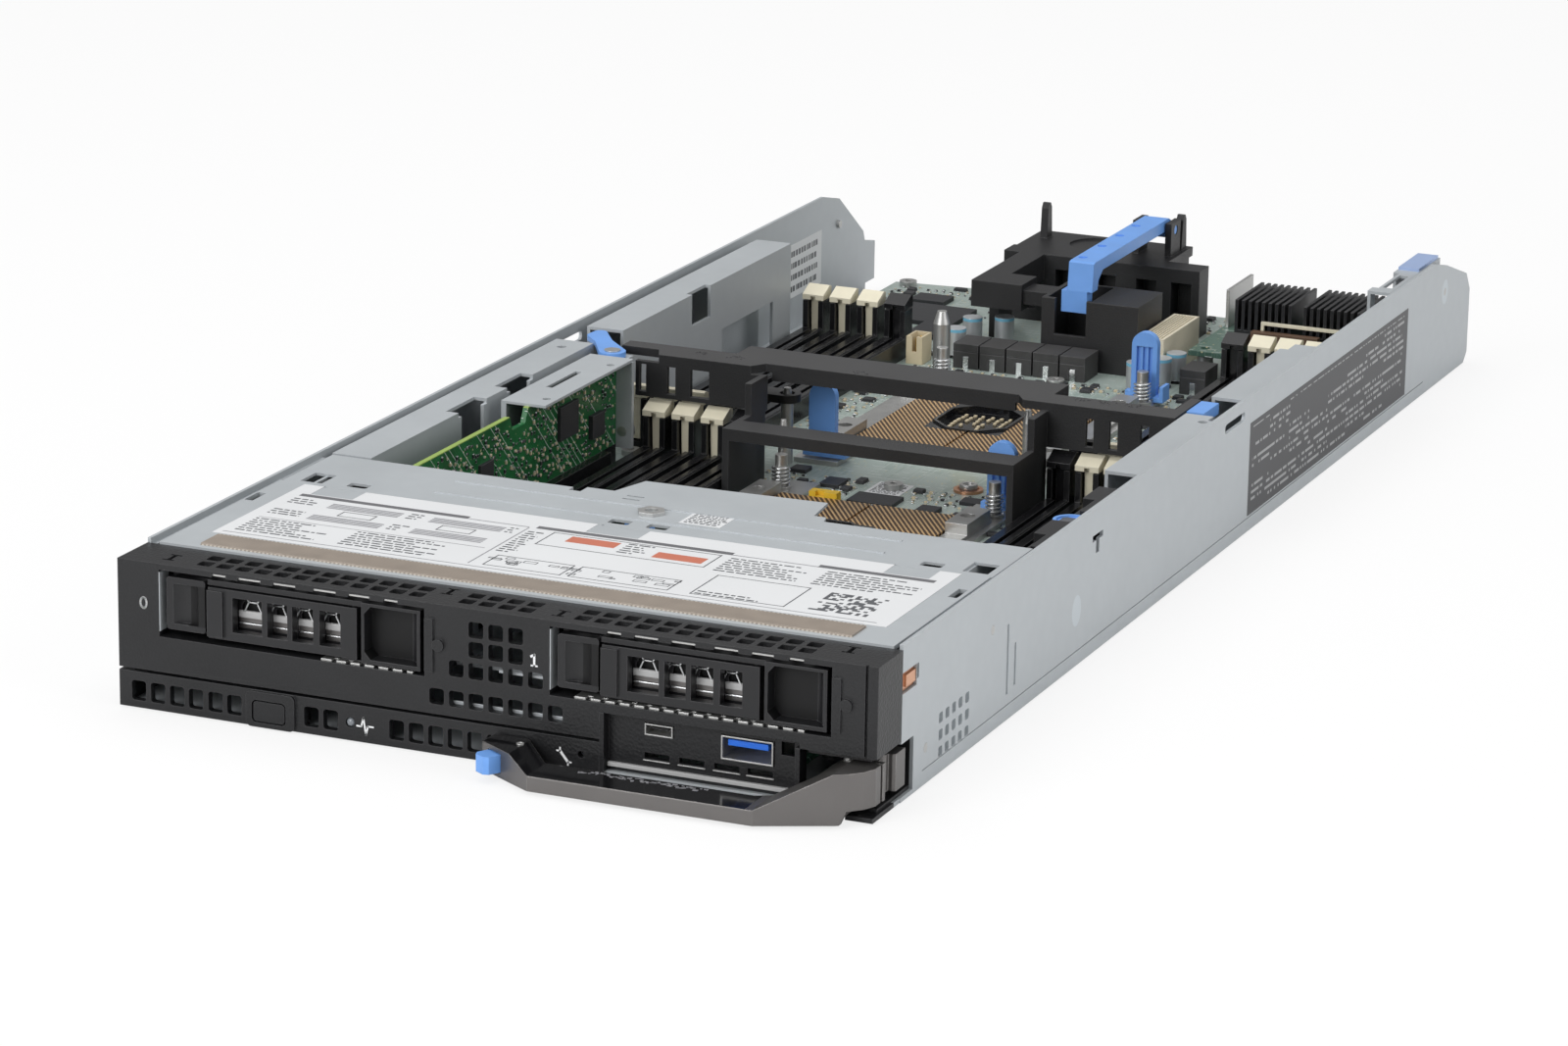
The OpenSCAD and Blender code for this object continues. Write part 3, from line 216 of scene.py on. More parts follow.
    def over(self, mask: Value, under: Layer, top: Layer) -> Layer:
        """Lays one finish over another where a mask is 1."""
        return Layer(
            self.tint(mask, under.colour, top.colour),
            self.mix(mask, under.metallic, top.metallic),
            self.mix(mask, under.roughness, top.roughness),
            self.mix(mask, under.height, top.height))

    def done(self, layer: Layer, relief: float = 0.1, round_mm: float = 0.25, coat: float = 0.0,
             specular: float = 0.38) -> bpy.types.Material:
        """Closes the material with its shader.

        Args:
            layer: Colour, metal, roughness and height.
            relief: Depth of the relief in millimetres.
            round_mm: Radius at which sharp edges catch the light.
            coat: Weight of a clear coat.
            specular: Strength of the plain reflection.

        Returns:
            The finished material.
        """
        shader = self.tree.nodes.new("ShaderNodeBsdfPrincipled")
        self.put(shader.inputs["Base Color"], layer.colour)
        self.put(shader.inputs["Metallic"], layer.metallic)
        self.put(shader.inputs["Roughness"], layer.roughness)
        shader.inputs["Coat Weight"].default_value = coat
        shader.inputs["Specular IOR Level"].default_value = specular
        edge = self.tree.nodes.new("ShaderNodeBevel")
        edge.samples = 4
        edge.inputs["Radius"].default_value = round_mm * MM
        bump = self.tree.nodes.new("ShaderNodeBump")
        bump.inputs["Distance"].default_value = relief * MM
        self.put(bump.inputs["Height"], layer.height)
        self.tree.links.new(edge.outputs[0], bump.inputs["Normal"])
        self.tree.links.new(bump.outputs[0], shader.inputs["Normal"])
        out = self.tree.nodes.new("ShaderNodeOutputMaterial")
        self.tree.links.new(shader.outputs[0], out.inputs[0])
        return self.material

    def lying(self, reach: float) -> bpy.types.NodeSocket:
        """Returns 1 on upward faces, short of their edges by a reach in millimetres, and 0 elsewhere."""
        edge = self.tree.nodes.new("ShaderNodeBevel")
        edge.samples = 4
        edge.inputs["Radius"].default_value = reach * MM
        up = self.parts(edge.outputs[0])[2]
        return self.math("GREATER_THAN", up, 0.8)

    def rubbed(self, reach: float) -> bpy.types.NodeSocket:
        """Returns how near a sharp edge a point is, from 0 to 1."""
        edge = self.tree.nodes.new("ShaderNodeBevel")
        edge.samples = 4
        edge.inputs["Radius"].default_value = reach * MM
        flat = self.tree.nodes.new("ShaderNodeNewGeometry")
        node = self.tree.nodes.new("ShaderNodeVectorMath")
        node.operation = "DOT_PRODUCT"
        self.tree.links.new(edge.outputs[0], node.inputs[0])
        self.tree.links.new(flat.outputs["True Normal"], node.inputs[1])
        near = self.math("MULTIPLY", self.math("SUBTRACT", 0.985, node.outputs["Value"]), 8.0)
        return self.math("MINIMUM", self.math("MAXIMUM", near, 0.0), 1.0)


@dataclass(frozen=True)
class Finish:
    """One kind of surface, with its grain, tone and wear."""

    name: str
    colour: Colour
    metallic: float = 0.0
    roughness: float = 0.5
    tone: float = 0.05
    patch_mm: float = 18.0
    grain: Grain = Grain.FINE
    grain_mm: float = 0.5
    relief: float = 0.02
    worn: Colour | None = None
    wear: float = 0.5
    coat: float = 0.0
    edge_mm: float = 0.25

    def layer(self, brush: Brush) -> Layer:
        """Lays this finish down with a brush and returns its layer."""
        patches = brush.noise(self.patch_mm, 3.0)
        dark = tuple(c * (1 - 2 * self.tone) for c in self.colour)
        light = tuple(min(1.0, c * (1 + 2 * self.tone)) for c in self.colour)
        colour: Tint = brush.tint(patches, dark, light)
        height = self.height(brush)
        rough: Value = brush.math("ADD", brush.math("MULTIPLY", brush.math("SUBTRACT", patches, 0.5), 0.12),
                                  self.roughness)
        if self.grain is Grain.SPANGLED:
            flake = brush.cells(self.grain_mm * 7)
            share = brush.math("MULTIPLY", flake.outputs["Distance"], 0.1)
            colour = brush.tint(share, colour, (0.32, 0.35, 0.38))
        if self.worn is not None:
            scuffs = brush.math("MULTIPLY", brush.rubbed(0.35), brush.noise(3.0, 4.0))
            share = brush.math("MINIMUM", brush.math("MULTIPLY", scuffs, self.wear * 1.6), 1.0)
            colour = brush.tint(share, colour, self.worn)
        return Layer(colour, float(self.metallic), rough, height)

    def height(self, brush: Brush) -> Value:
        """Returns the relief of this finish's grain."""
        size = self.grain_mm
        if self.grain is Grain.SMOOTH:
            return brush.noise(size * 6, 1.0)
        if self.grain is Grain.BRUSHED:
            return brush.noise(size, 3.0, (1, 0.06, 1))
        if self.grain is Grain.SPANGLED:
            return brush.math("ADD", brush.noise(size * 5, 3.0), brush.noise(size * 0.7, 1.0))
        if self.grain is Grain.PEBBLED:
            return brush.cells(size).outputs["Distance"]
        return brush.noise(size, 2.0)

    def material(self) -> bpy.types.Material:
        """Returns this finish as a material of its own, made once."""
        found = bpy.data.materials.get(self.name)
        if found is not None:
            return found
        brush = Brush(self.name)
        return brush.done(self.layer(brush), self.relief, self.edge_mm, self.coat)


ZINC = Finish("zinc_sheet_finish", (0.50, 0.53, 0.55), 0.35, 0.5, 0.03, 30, Grain.SPANGLED, 0.7, 0.012,
              (0.7, 0.72, 0.74), 0.3, 0.0, 0.12)
STEEL = Finish("steel_finish", (0.50, 0.50, 0.49), 0.85, 0.4, 0.06, 6, Grain.BRUSHED, 0.25, 0.01,
               (0.8, 0.8, 0.8), 0.6)
BLACK = Finish("black_moulding_finish", (0.013, 0.0132, 0.0145), 0.0, 0.4, 0.16, 25, Grain.PEBBLED, 0.8, 0.07,
               (0.09, 0.09, 0.095), 0.55)
SATIN_BLACK = Finish("drive_black_finish", (0.014, 0.014, 0.0155), 0.0, 0.34, 0.1, 14, Grain.FINE, 0.3, 0.012,
                     (0.12, 0.12, 0.125), 0.6)
# Painted shade: a near-black that stands for the shade in the trays' pockets, in the releases' dishes and on the disks'
# faces behind the window arches.
PAINTED_SHADE_BLACK = Finish("painted_shade_black_finish", (0.003, 0.003, 0.0035), 0.0, 0.6, 0.1, 12, Grain.FINE, 0.3, 0.01)
GLOSS_BLACK = Finish("gloss_black_finish", (0.008, 0.008, 0.009), 0.0, 0.12, 0.1, 20, Grain.SMOOTH, 0.6, 0.004)
SOCKET_BLACK = Finish("socket_black_finish", (0.008, 0.008, 0.009), 0.0, 0.25, 0.15, 9, Grain.FINE, 0.4, 0.01,
                      (0.16, 0.16, 0.165), 0.6)
GUNMETAL = Finish("gunmetal_finish", (0.17, 0.162, 0.158), 0.75, 0.36, 0.04, 12, Grain.FINE, 0.18, 0.01,
                  (0.6, 0.58, 0.56), 0.7, 0.0, 0.5)
BLUE = Finish("touch_blue_finish", (0.165, 0.37, 0.82), 0.0, 0.4, 0.05, 8, Grain.FINE, 0.3, 0.008,
              (0.25, 0.45, 0.85), 0.4, 0.0, 0.3)
PAD_BLUE = Finish("rear_pad_finish", (0.36, 0.47, 0.72), 0.15, 0.38, 0.05, 8, Grain.FINE, 0.3, 0.008)
PORT_BLUE = Finish("port_blue_finish", (0.02, 0.16, 0.75), 0.0, 0.3, 0.05, 6, Grain.SMOOTH)
IVORY = Finish("latch_ivory_finish", (0.76, 0.71, 0.55), 0.0, 0.4, 0.05, 5, Grain.FINE, 0.25, 0.008,
               (0.9, 0.87, 0.76), 0.4)
CREAM = Finish("header_cream_finish", (0.62, 0.53, 0.36), 0.0, 0.45, 0.06, 5, Grain.FINE, 0.25, 0.008)
YELLOW = Finish("key_yellow_finish", (0.85, 0.55, 0.04), 0.0, 0.4, 0.06, 5, Grain.FINE, 0.25, 0.008)
FOIL = Finish("gasket_foil_finish", (0.33, 0.28, 0.235), 0.35, 0.5, 0.08, 6, Grain.BRUSHED, 0.4, 0.05,
              (0.6, 0.55, 0.5), 0.5)
COPPER = Finish("copper_finish", (0.62, 0.33, 0.2), 0.9, 0.3, 0.08, 5, Grain.BRUSHED, 0.3, 0.01)
EPOXY = Finish("chip_epoxy_finish", (0.03, 0.031, 0.034), 0.0, 0.5, 0.12, 3, Grain.FINE, 0.2, 0.02,
               (0.2, 0.2, 0.21), 0.4)
FERRITE = Finish("ferrite_finish", (0.052, 0.051, 0.051), 0.0, 0.55, 0.12, 3, Grain.FINE, 0.25, 0.03,
                 (0.2, 0.2, 0.21), 0.6)
CAN = Finish("capacitor_finish", (0.60, 0.62, 0.64), 0.7, 0.42, 0.04, 4, Grain.BRUSHED, 0.2, 0.006)
DISK = Finish("disk_case_finish", (0.5, 0.5, 0.5), 0.25, 0.55, 0.05, 20, Grain.FINE, 0.4, 0.01)
COOLER = Finish("cooler_black_finish", (0.022, 0.022, 0.024), 0.4, 0.4, 0.1, 10, Grain.BRUSHED, 0.3, 0.01,
                (0.2, 0.2, 0.21), 0.6)
GOLD = Finish("gold_finish", (0.85, 0.6, 0.22), 1.0, 0.25, 0.05, 4, Grain.SMOOTH)
TIN = Finish("tin_finish", (0.75, 0.76, 0.77), 1.0, 0.28, 0.06, 2, Grain.SMOOTH)
PAPER = Finish("label_paper_finish", (0.72, 0.73, 0.74), 0.0, 0.6, 0.015, 30, Grain.FINE, 0.3, 0.003)
INK = Finish("label_ink_finish", (0.1, 0.105, 0.115), 0.0, 0.4, 0.05, 5, Grain.SMOOTH)
TITLE_INK = Finish("label_title_finish", (0.14, 0.14, 0.15), 0.0, 0.35, 0.03, 5, Grain.SMOOTH)
# Grey print on the labels; the same grey also paints the reflections on the handle's dark strip.
GREY_INK_AND_REFLECTION = Finish("grey_ink_and_reflection_finish", (0.3, 0.3, 0.32), 0.0, 0.35, 0.03, 5, Grain.SMOOTH)
RED_INK = Finish("label_red_finish", (0.58, 0.17, 0.1), 0.0, 0.35, 0.04, 5, Grain.SMOOTH)
WHITE = Finish("white_mark_finish", (0.85, 0.86, 0.87), 0.0, 0.4, 0.02, 5, Grain.SMOOTH)
BROWN = Finish("edge_strip_finish", (0.12, 0.07, 0.045), 0.0, 0.5, 0.1, 4, Grain.FINE, 0.3, 0.02)
RIM_BLUE = Finish("capacitor_rim_finish", (0.22, 0.55, 0.75), 0.2, 0.35, 0.05, 4, Grain.FINE, 0.2, 0.006)
LENS = Finish("lens_finish", (0.2, 0.22, 0.24), 0.0, 0.1, 0.03, 3, Grain.SMOOTH, coat=0.8)


def board_layer(brush: Brush, mask_colour: Colour, track_colour: Colour) -> Layer:
    """Returns the finish of a circuit board: resist, tracks, vias and white printing.

    Args:
        brush: The brush that lays it down.
        mask_colour: Colour of the resist over bare laminate.
        track_colour: Colour of the resist over copper.

    Returns:
        The layer.
    """
    x, y, z = brush.parts(brush.point)
    along = brush.math("ADD", y, z)
    lanes = brush.math("LESS_THAN", brush.math("FRACT", brush.math("MULTIPLY", x, 1.25)), 0.45)
    runs = brush.math("GREATER_THAN", brush.chance(brush.math("MULTIPLY", x, 1.25),
                                                   brush.math("MULTIPLY", along, 0.07)), 0.45)
    slanted = brush.math("MULTIPLY", brush.math("ADD", x, along), 0.9)
    cross = brush.math("LESS_THAN", brush.math("FRACT", slanted), 0.4)
    area = brush.math("GREATER_THAN", brush.noise(14, 1.0), 0.52)
    tracks = brush.mix(area, brush.math("MULTIPLY", lanes, runs), cross)
    colour = brush.tint(tracks, mask_colour, track_colour)
    pour = brush.math("GREATER_THAN", brush.noise(22, 1.0), 0.56)
    colour = brush.tint(brush.math("MULTIPLY", pour, 0.45), colour, track_colour)
    dots = brush.cells(1.9)
    via = brush.math("LESS_THAN", dots.outputs["Distance"], 0.16)
    busy = brush.math("GREATER_THAN", brush.noise(9, 2.0), 0.5)
    colour = brush.tint(brush.math("MULTIPLY", via, busy), colour, (0.55, 0.5, 0.3))
    boxes = brush.math("LESS_THAN", brush.math("FRACT", brush.math("MULTIPLY", along, 0.35)), 0.07)
    marks = brush.math("GREATER_THAN", brush.chance(brush.math("MULTIPLY", x, 0.45),
                                                    brush.math("MULTIPLY", along, 0.35)), 0.72)
    colour = brush.tint(brush.math("MULTIPLY", boxes, marks), colour, (0.75, 0.78, 0.76))
    return Layer(colour, 0.0, 0.32, tracks)


def contact_layer(brush: Brush) -> Layer:
    """Returns the finish of a contact field: rows of gold contacts on brown."""
    x, y, _ = brush.parts(brush.point)
    u = brush.math("ADD", brush.math("MULTIPLY", x, 0.62), brush.math("MULTIPLY", y, 0.41))
    v = brush.math("SUBTRACT", brush.math("MULTIPLY", x, 0.43), brush.math("MULTIPLY", y, 0.64))
    rows = brush.math("LESS_THAN", brush.math("FRACT", u), 0.42)
    beads = brush.math("LESS_THAN", brush.math("FRACT", v), 0.9)
    gold = brush.math("MULTIPLY", rows, beads)
    base = brush.tint(brush.noise(12, 2.0), (0.035, 0.018, 0.008), (0.07, 0.038, 0.018))
    colour = brush.tint(gold, base, (0.80, 0.53, 0.26))
    return Layer(colour, brush.math("MULTIPLY", gold, 0.5), 0.4, gold)


@dataclass(frozen=True)
class Zone:
    """A box in millimetres in which a node has another finish."""

    low: Point
    high: Point
    finish: Finish


def dress(node: str, finish: Finish | Callable[[Brush], Layer], zones: Iterable[Zone] = ()) -> None:
    """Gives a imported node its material.

    Args:
        node: Name of the node.
        finish: Its main finish, or a function that lays one down.
        zones: Boxes with another finish.
    """
    zones = tuple(zones)
    plain = isinstance(finish, Finish)
    if zones or not plain:
        brush = Brush(f"{node}_look")
        layer = finish.layer(brush) if plain else finish(brush)
        for other in dict.fromkeys(zone.finish for zone in zones):
            mask: Value = 0.0
            for zone in zones:
                if zone.finish is other:
                    mask = brush.math("MAXIMUM", mask, brush.within(zone.low, zone.high))
            layer = brush.over(mask, layer, other.layer(brush))
        material = brush.done(layer, finish.relief, finish.edge_mm, finish.coat) if plain else brush.done(layer, 0.03)
    else:
        material = finish.material()
    wear(node, material)


def wear(node: str, material: bpy.types.Material) -> None:
    """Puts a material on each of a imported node's slots."""
    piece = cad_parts[node]
    if not piece.material_slots:
        piece.data.materials.append(material)
    for entry in piece.material_slots:
        entry.material = material


# ------------------------------------------------------------------ modelling

def clear_selection() -> None:
    """Deselects every object."""
    bpy.ops.object.select_all(action="DESELECT")


class Workpiece:
    """A mesh being shaped by the modelling operators."""

    def __init__(self, name: str) -> None:
        """Takes the object that an add operator has just made.

        Args:
            name: The piece's name.
        """
        self.object = bpy.context.view_layer.objects.active
        self.object.name = name
        bpy.ops.object.transform_apply(location=True, rotation=True, scale=True)

    @classmethod
    def block(cls, name: str, low: Point, high: Point) -> "Workpiece":
        """Adds a box between two corners in millimetres."""
        clear_selection()
        middle = (Vector(low) + Vector(high)) / 2 * MM
        bpy.ops.mesh.primitive_cube_add(size=1, location=middle)
        bpy.context.object.scale = (Vector(high) - Vector(low)) * MM
        return cls(name)

    @classmethod
    def drum(cls, name: str, centre: Point, radius: float, height: float, sides: int = 32) -> "Workpiece":
        """Adds an upright cylinder on its lower centre, in millimetres."""
        clear_selection()
        place = Vector(centre) * MM + Vector((0, 0, height / 2 * MM))
        bpy.ops.mesh.primitive_cylinder_add(vertices=sides, radius=radius * MM, depth=height * MM, location=place)
        return cls(name)

    def choose(self, test: Callable[[Vector, Vector], bool]) -> "Workpiece":
        """Opens the mesh and selects the faces whose centre and normal pass a test."""
        self.enter()
        bpy.ops.mesh.select_mode(type="FACE")
        bpy.ops.mesh.select_all(action="DESELECT")
        mesh = bmesh.from_edit_mesh(self.object.data)
        for face in mesh.faces:
            face.select_set(test(face.calc_center_median() / MM, face.normal))
        bmesh.update_edit_mesh(self.object.data)
        return self

    def enter(self) -> None:
        """Makes the piece active and opens its mesh."""
        if bpy.context.mode == "EDIT_MESH":
            return
        clear_selection()
        self.object.select_set(True)
        bpy.context.view_layer.objects.active = self.object
        bpy.ops.object.mode_set(mode="EDIT")

    def close(self) -> "Workpiece":
        """Closes the mesh."""
        if bpy.context.mode == "EDIT_MESH":
            bpy.ops.object.mode_set(mode="OBJECT")
        return self

    def inset(self, width: float) -> "Workpiece":
        """Insets the chosen faces by a width in millimetres."""
        bpy.ops.mesh.inset(thickness=width * MM, depth=0)
        return self

    def push(self, x: float, y: float, z: float) -> "Workpiece":
        """Extrudes the chosen faces by a step in millimetres."""
        bpy.ops.mesh.extrude_region_move(TRANSFORM_OT_translate={"value": (x * MM, y * MM, z * MM)})
        return self

    def grow(self, x: float, y: float, z: float) -> "Workpiece":
        """Scales the chosen faces about their middle."""
        bpy.ops.transform.resize(value=(x, y, z))
        return self

    def modify(self, kind: str, **settings: object) -> "Workpiece":
        """Adds a modifier and applies it."""
        self.close()
        clear_selection()
        self.object.select_set(True)
        bpy.context.view_layer.objects.active = self.object
        modifier = self.object.modifiers.new(kind.lower(), kind)
        for key, value in settings.items():
            setattr(modifier, key, value)
        bpy.ops.object.modifier_apply(modifier=modifier.name)
        return self

    def soften(self, width: float, segments: int = 2) -> "Workpiece":
        """Rounds the edges to a width in millimetres."""
        return self.modify("BEVEL", width=width * MM, segments=segments, limit_method="ANGLE",
                           angle_limit=math.radians(40))

    def smooth(self, degrees: float = 35) -> "Workpiece":
        """Shades the round faces smooth."""
        self.close()
        clear_selection()
        self.object.select_set(True)
        bpy.context.view_layer.objects.active = self.object
        bpy.ops.object.shade_smooth_by_angle(angle=math.radians(degrees))
        return self

    def cut(self, other: "Workpiece") -> "Workpiece":
        """Cuts another piece's shape out of this one and drops the cutter."""
        self.modify("BOOLEAN", object=other.object, operation="DIFFERENCE", solver="EXACT")
        bpy.data.objects.remove(other.object)
        return self

    def copies(self, places: Iterable[Matrix]) -> "Workpiece":
        """Repeats the mesh at each place, in one mesh, and drops the first."""
        self.close()
        source = self.object.data
        out = bmesh.new()
        for place in places:
            count = len(out.verts)
            out.from_mesh(source)
            out.verts.ensure_lookup_table()
            bmesh.ops.transform(out, matrix=place, verts=out.verts[count:])
        out.to_mesh(source)
        out.free()
        return self

    def hand_over(self, body: str, finish: Finish | bpy.types.Material, slot: str | None = None) -> None:
        """Gives the piece its finish and its body.

        Args:
            body: The body that it rides on.
            finish: Its finish, or a material of its own.
            slot: The record's material slot; not used.
        """
        self.close()
        self.object.data.materials.clear()
        material = finish.material() if isinstance(finish, Finish) else finish
        self.object.data.materials.append(material)
        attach(self.object, body)
        LOG.info("%s: %d faces, on %s", self.object.name, len(self.object.data.polygons), body)


def at(x: float, y: float, z: float, turn: float = 0.0, size: Point = (1, 1, 1)) -> Matrix:
    """Returns a placing matrix from millimetres, degrees about Z and a size."""
    return Matrix.Translation(Vector((x, y, z)) * MM) @ Matrix.Rotation(math.radians(turn), 4, "Z") \
        @ Matrix.Diagonal((*size, 1))


def box_of(node: str) -> tuple[Point, Point]:
    """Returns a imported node's corners in millimetres, with Y from the bezel's face."""
    low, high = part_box(node)
    return ((low[0] / MM, low[1] / MM - FRONT, low[2] / MM), (high[0] / MM, high[1] / MM - FRONT, high[2] / MM))


def back(y: float) -> float:
    """Turns a distance behind the bezel's face into a place along Y."""
    return FRONT + y


def corners(x: tuple[float, float], y: tuple[float, float], z: tuple[float, float]) -> tuple[Point, Point]:
    """Returns a box's corners, with Y from the bezel's face."""
    return (x[0], back(y[0]), z[0]), (x[1], back(y[1]), z[1])


def zone(x: tuple[float, float], y: tuple[float, float], z: tuple[float, float], finish: Finish) -> Zone:
    """Returns a zone from its spans, with Y from the bezel's face."""
    low, high = corners(x, y, z)
    return Zone(low, high, finish)


ANY = (-400.0, 900.0)
"""A span that takes in the whole sled."""


# ------------------------------------------------------------------ sub-assemblies

class Assembly:
    """A part of the sled that dresses its nodes and adds its pieces."""

    def dress(self) -> None:
        """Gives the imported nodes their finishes."""

    def build(self) -> None:
        """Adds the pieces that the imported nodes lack."""


@dataclass
class Chassis(Assembly):
    """The folded sheet metal round the board."""

    plain_nodes: tuple[str, ...] = ("left_side_plate", "left_guide_rails", "right_guide_rails",
                                    "drive_bay_cover", "rear_deck", "drive_cage", "card_bracket")
    foot_x: tuple[float, float] = (97.9, 106.0)
    foot_y: tuple[float, float] = (-2.0, 12.0)
    label_y: tuple[float, float] = (281.0, 435.0)
    label_z: tuple[float, float] = (4.7, 32.6)
    spots: tuple[tuple[float, float, float], ...] = ((139.0, 15.5, 3.4), (475.0, 29.0, 3.2))
    ring_screw: tuple[float, float, float] = (25.0, 266.0, 6.0)
    stitch_reach: float = 0.4
    stitch_rate: float = 0.85

    def dress(self) -> None:
        """Gives the sheet metal its zinc, and the right plate its dark label."""
        for node in self.plain_nodes:
            dress(node, ZINC)
        dress("base_pan", ZINC, [zone(self.foot_x, self.foot_y, (-1.0, 2.5), SATIN_BLACK)])
        dress("rear_guide_bracket", ZINC, [zone(ANY, ANY, (39.25, 50), PAD_BLUE)])
        wear("cover_gasket", self.gasket_material())
        dress("ground_spring", COPPER)
        dress("chassis_screws", STEEL)
        wear("right_side_plate", self.plate_material())

    def gasket_material(self) -> bpy.types.Material:
        """Returns foil with a row of pale stitches along each long edge."""
        brush = Brush("cover_gasket_look")
        (_, front, _), (_, rear, _) = box_of("cover_gasket")
        x, y, _ = brush.parts(brush.point)
        middle, half = back((front + rear) / 2), (rear - front) / 2
        away = brush.math("ABSOLUTE", brush.math("SUBTRACT", y, middle))
        edge = brush.math("GREATER_THAN", away, half - self.stitch_reach)
        dots = brush.math("LESS_THAN", brush.math("FRACT", brush.math("MULTIPLY", x, self.stitch_rate)), 0.5)
        pale = Layer((0.62, 0.57, 0.5), 0.2, 0.5, 0.8)
        layer = brush.over(brush.math("MULTIPLY", edge, dots), FOIL.layer(brush), pale)
        return brush.done(layer, FOIL.relief, FOIL.edge_mm)

    def plate_material(self) -> bpy.types.Material:
        """Returns zinc with a dark label of plain marks and two pale spots."""
        brush = Brush("right_plate_look")
        layer = ZINC.layer(brush)
        x, y, z = brush.parts(brush.point)
        low, high = corners((100, 107), self.label_y, self.label_z)
        outside = brush.math("GREATER_THAN", x, cad_high[0] / MM - 0.2)
        label = brush.math("MULTIPLY", brush.within(low, high), outside)
        line = brush.math("MULTIPLY", brush.math("SUBTRACT", z, self.label_z[0]), 0.5)
        rows = brush.math("LESS_THAN", brush.math("FRACT", line), 0.42)
        column = brush.math("MULTIPLY", brush.math("SUBTRACT", y, back(self.label_y[0])), 0.9)
        strokes = brush.math("GREATER_THAN", brush.chance(column, line), 0.35)
        ragged = brush.math("GREATER_THAN", brush.chance(brush.math("MULTIPLY", column, 0.06), line), 0.42)
        text = brush.math("MULTIPLY", brush.math("MULTIPLY", rows, strokes), ragged)
        field_low, field_high = corners((100, 107), (self.label_y[0] + 3, self.label_y[1] - 4),
                                        (self.label_z[0] + 1.2, self.label_z[1] - 1.5))
        text = brush.math("MULTIPLY", text, brush.within(field_low, field_high))
        dark = Layer((0.035, 0.036, 0.04), 0.0, 0.38, 0.5)
        mark = Layer((0.33, 0.335, 0.34), 0.0, 0.4, 0.5)
        layer = brush.over(label, layer, brush.over(text, dark, mark))
        for spot_y, spot_z, radius in self.spots:
            dy = brush.math("SUBTRACT", y, back(spot_y))
            dz = brush.math("MULTIPLY", brush.math("SUBTRACT", z, spot_z), 0.8)
            away = brush.math("SQRT", brush.math("ADD", brush.math("MULTIPLY", dy, dy), brush.math("MULTIPLY", dz, dz)))
            spot = brush.math("MULTIPLY", brush.math("LESS_THAN", away, radius), outside)
            layer = brush.over(brush.math("MULTIPLY", spot, 0.5), layer, Layer((0.62, 0.68, 0.72), 0.2, 0.5, 0.5))
        return brush.done(layer, ZINC.relief, ZINC.edge_mm)

    def build(self) -> None:
        """Adds the copper ringed screw between the sockets."""
        x, y, z = self.ring_screw
        ring = Workpiece.drum("ring_screw_collar", (x, back(y), z), 4.4, 0.8)
        ring.choose(lambda c, n: n.z > 0.9).inset(1.2).push(0, 0, -0.4).close()
        ring.smooth().hand_over("chassis", COPPER, "copper_spring")
        head = Workpiece.drum("ring_screw_head", (x, back(y), z + 0.4), 2.7, 1.9, 24)
        head.choose(lambda c, n: n.z > 0.9).inset(1.1).push(0, 0, -0.9).close()
        head.soften(0.25).smooth().hand_over("chassis", STEEL, "hardware_steel")


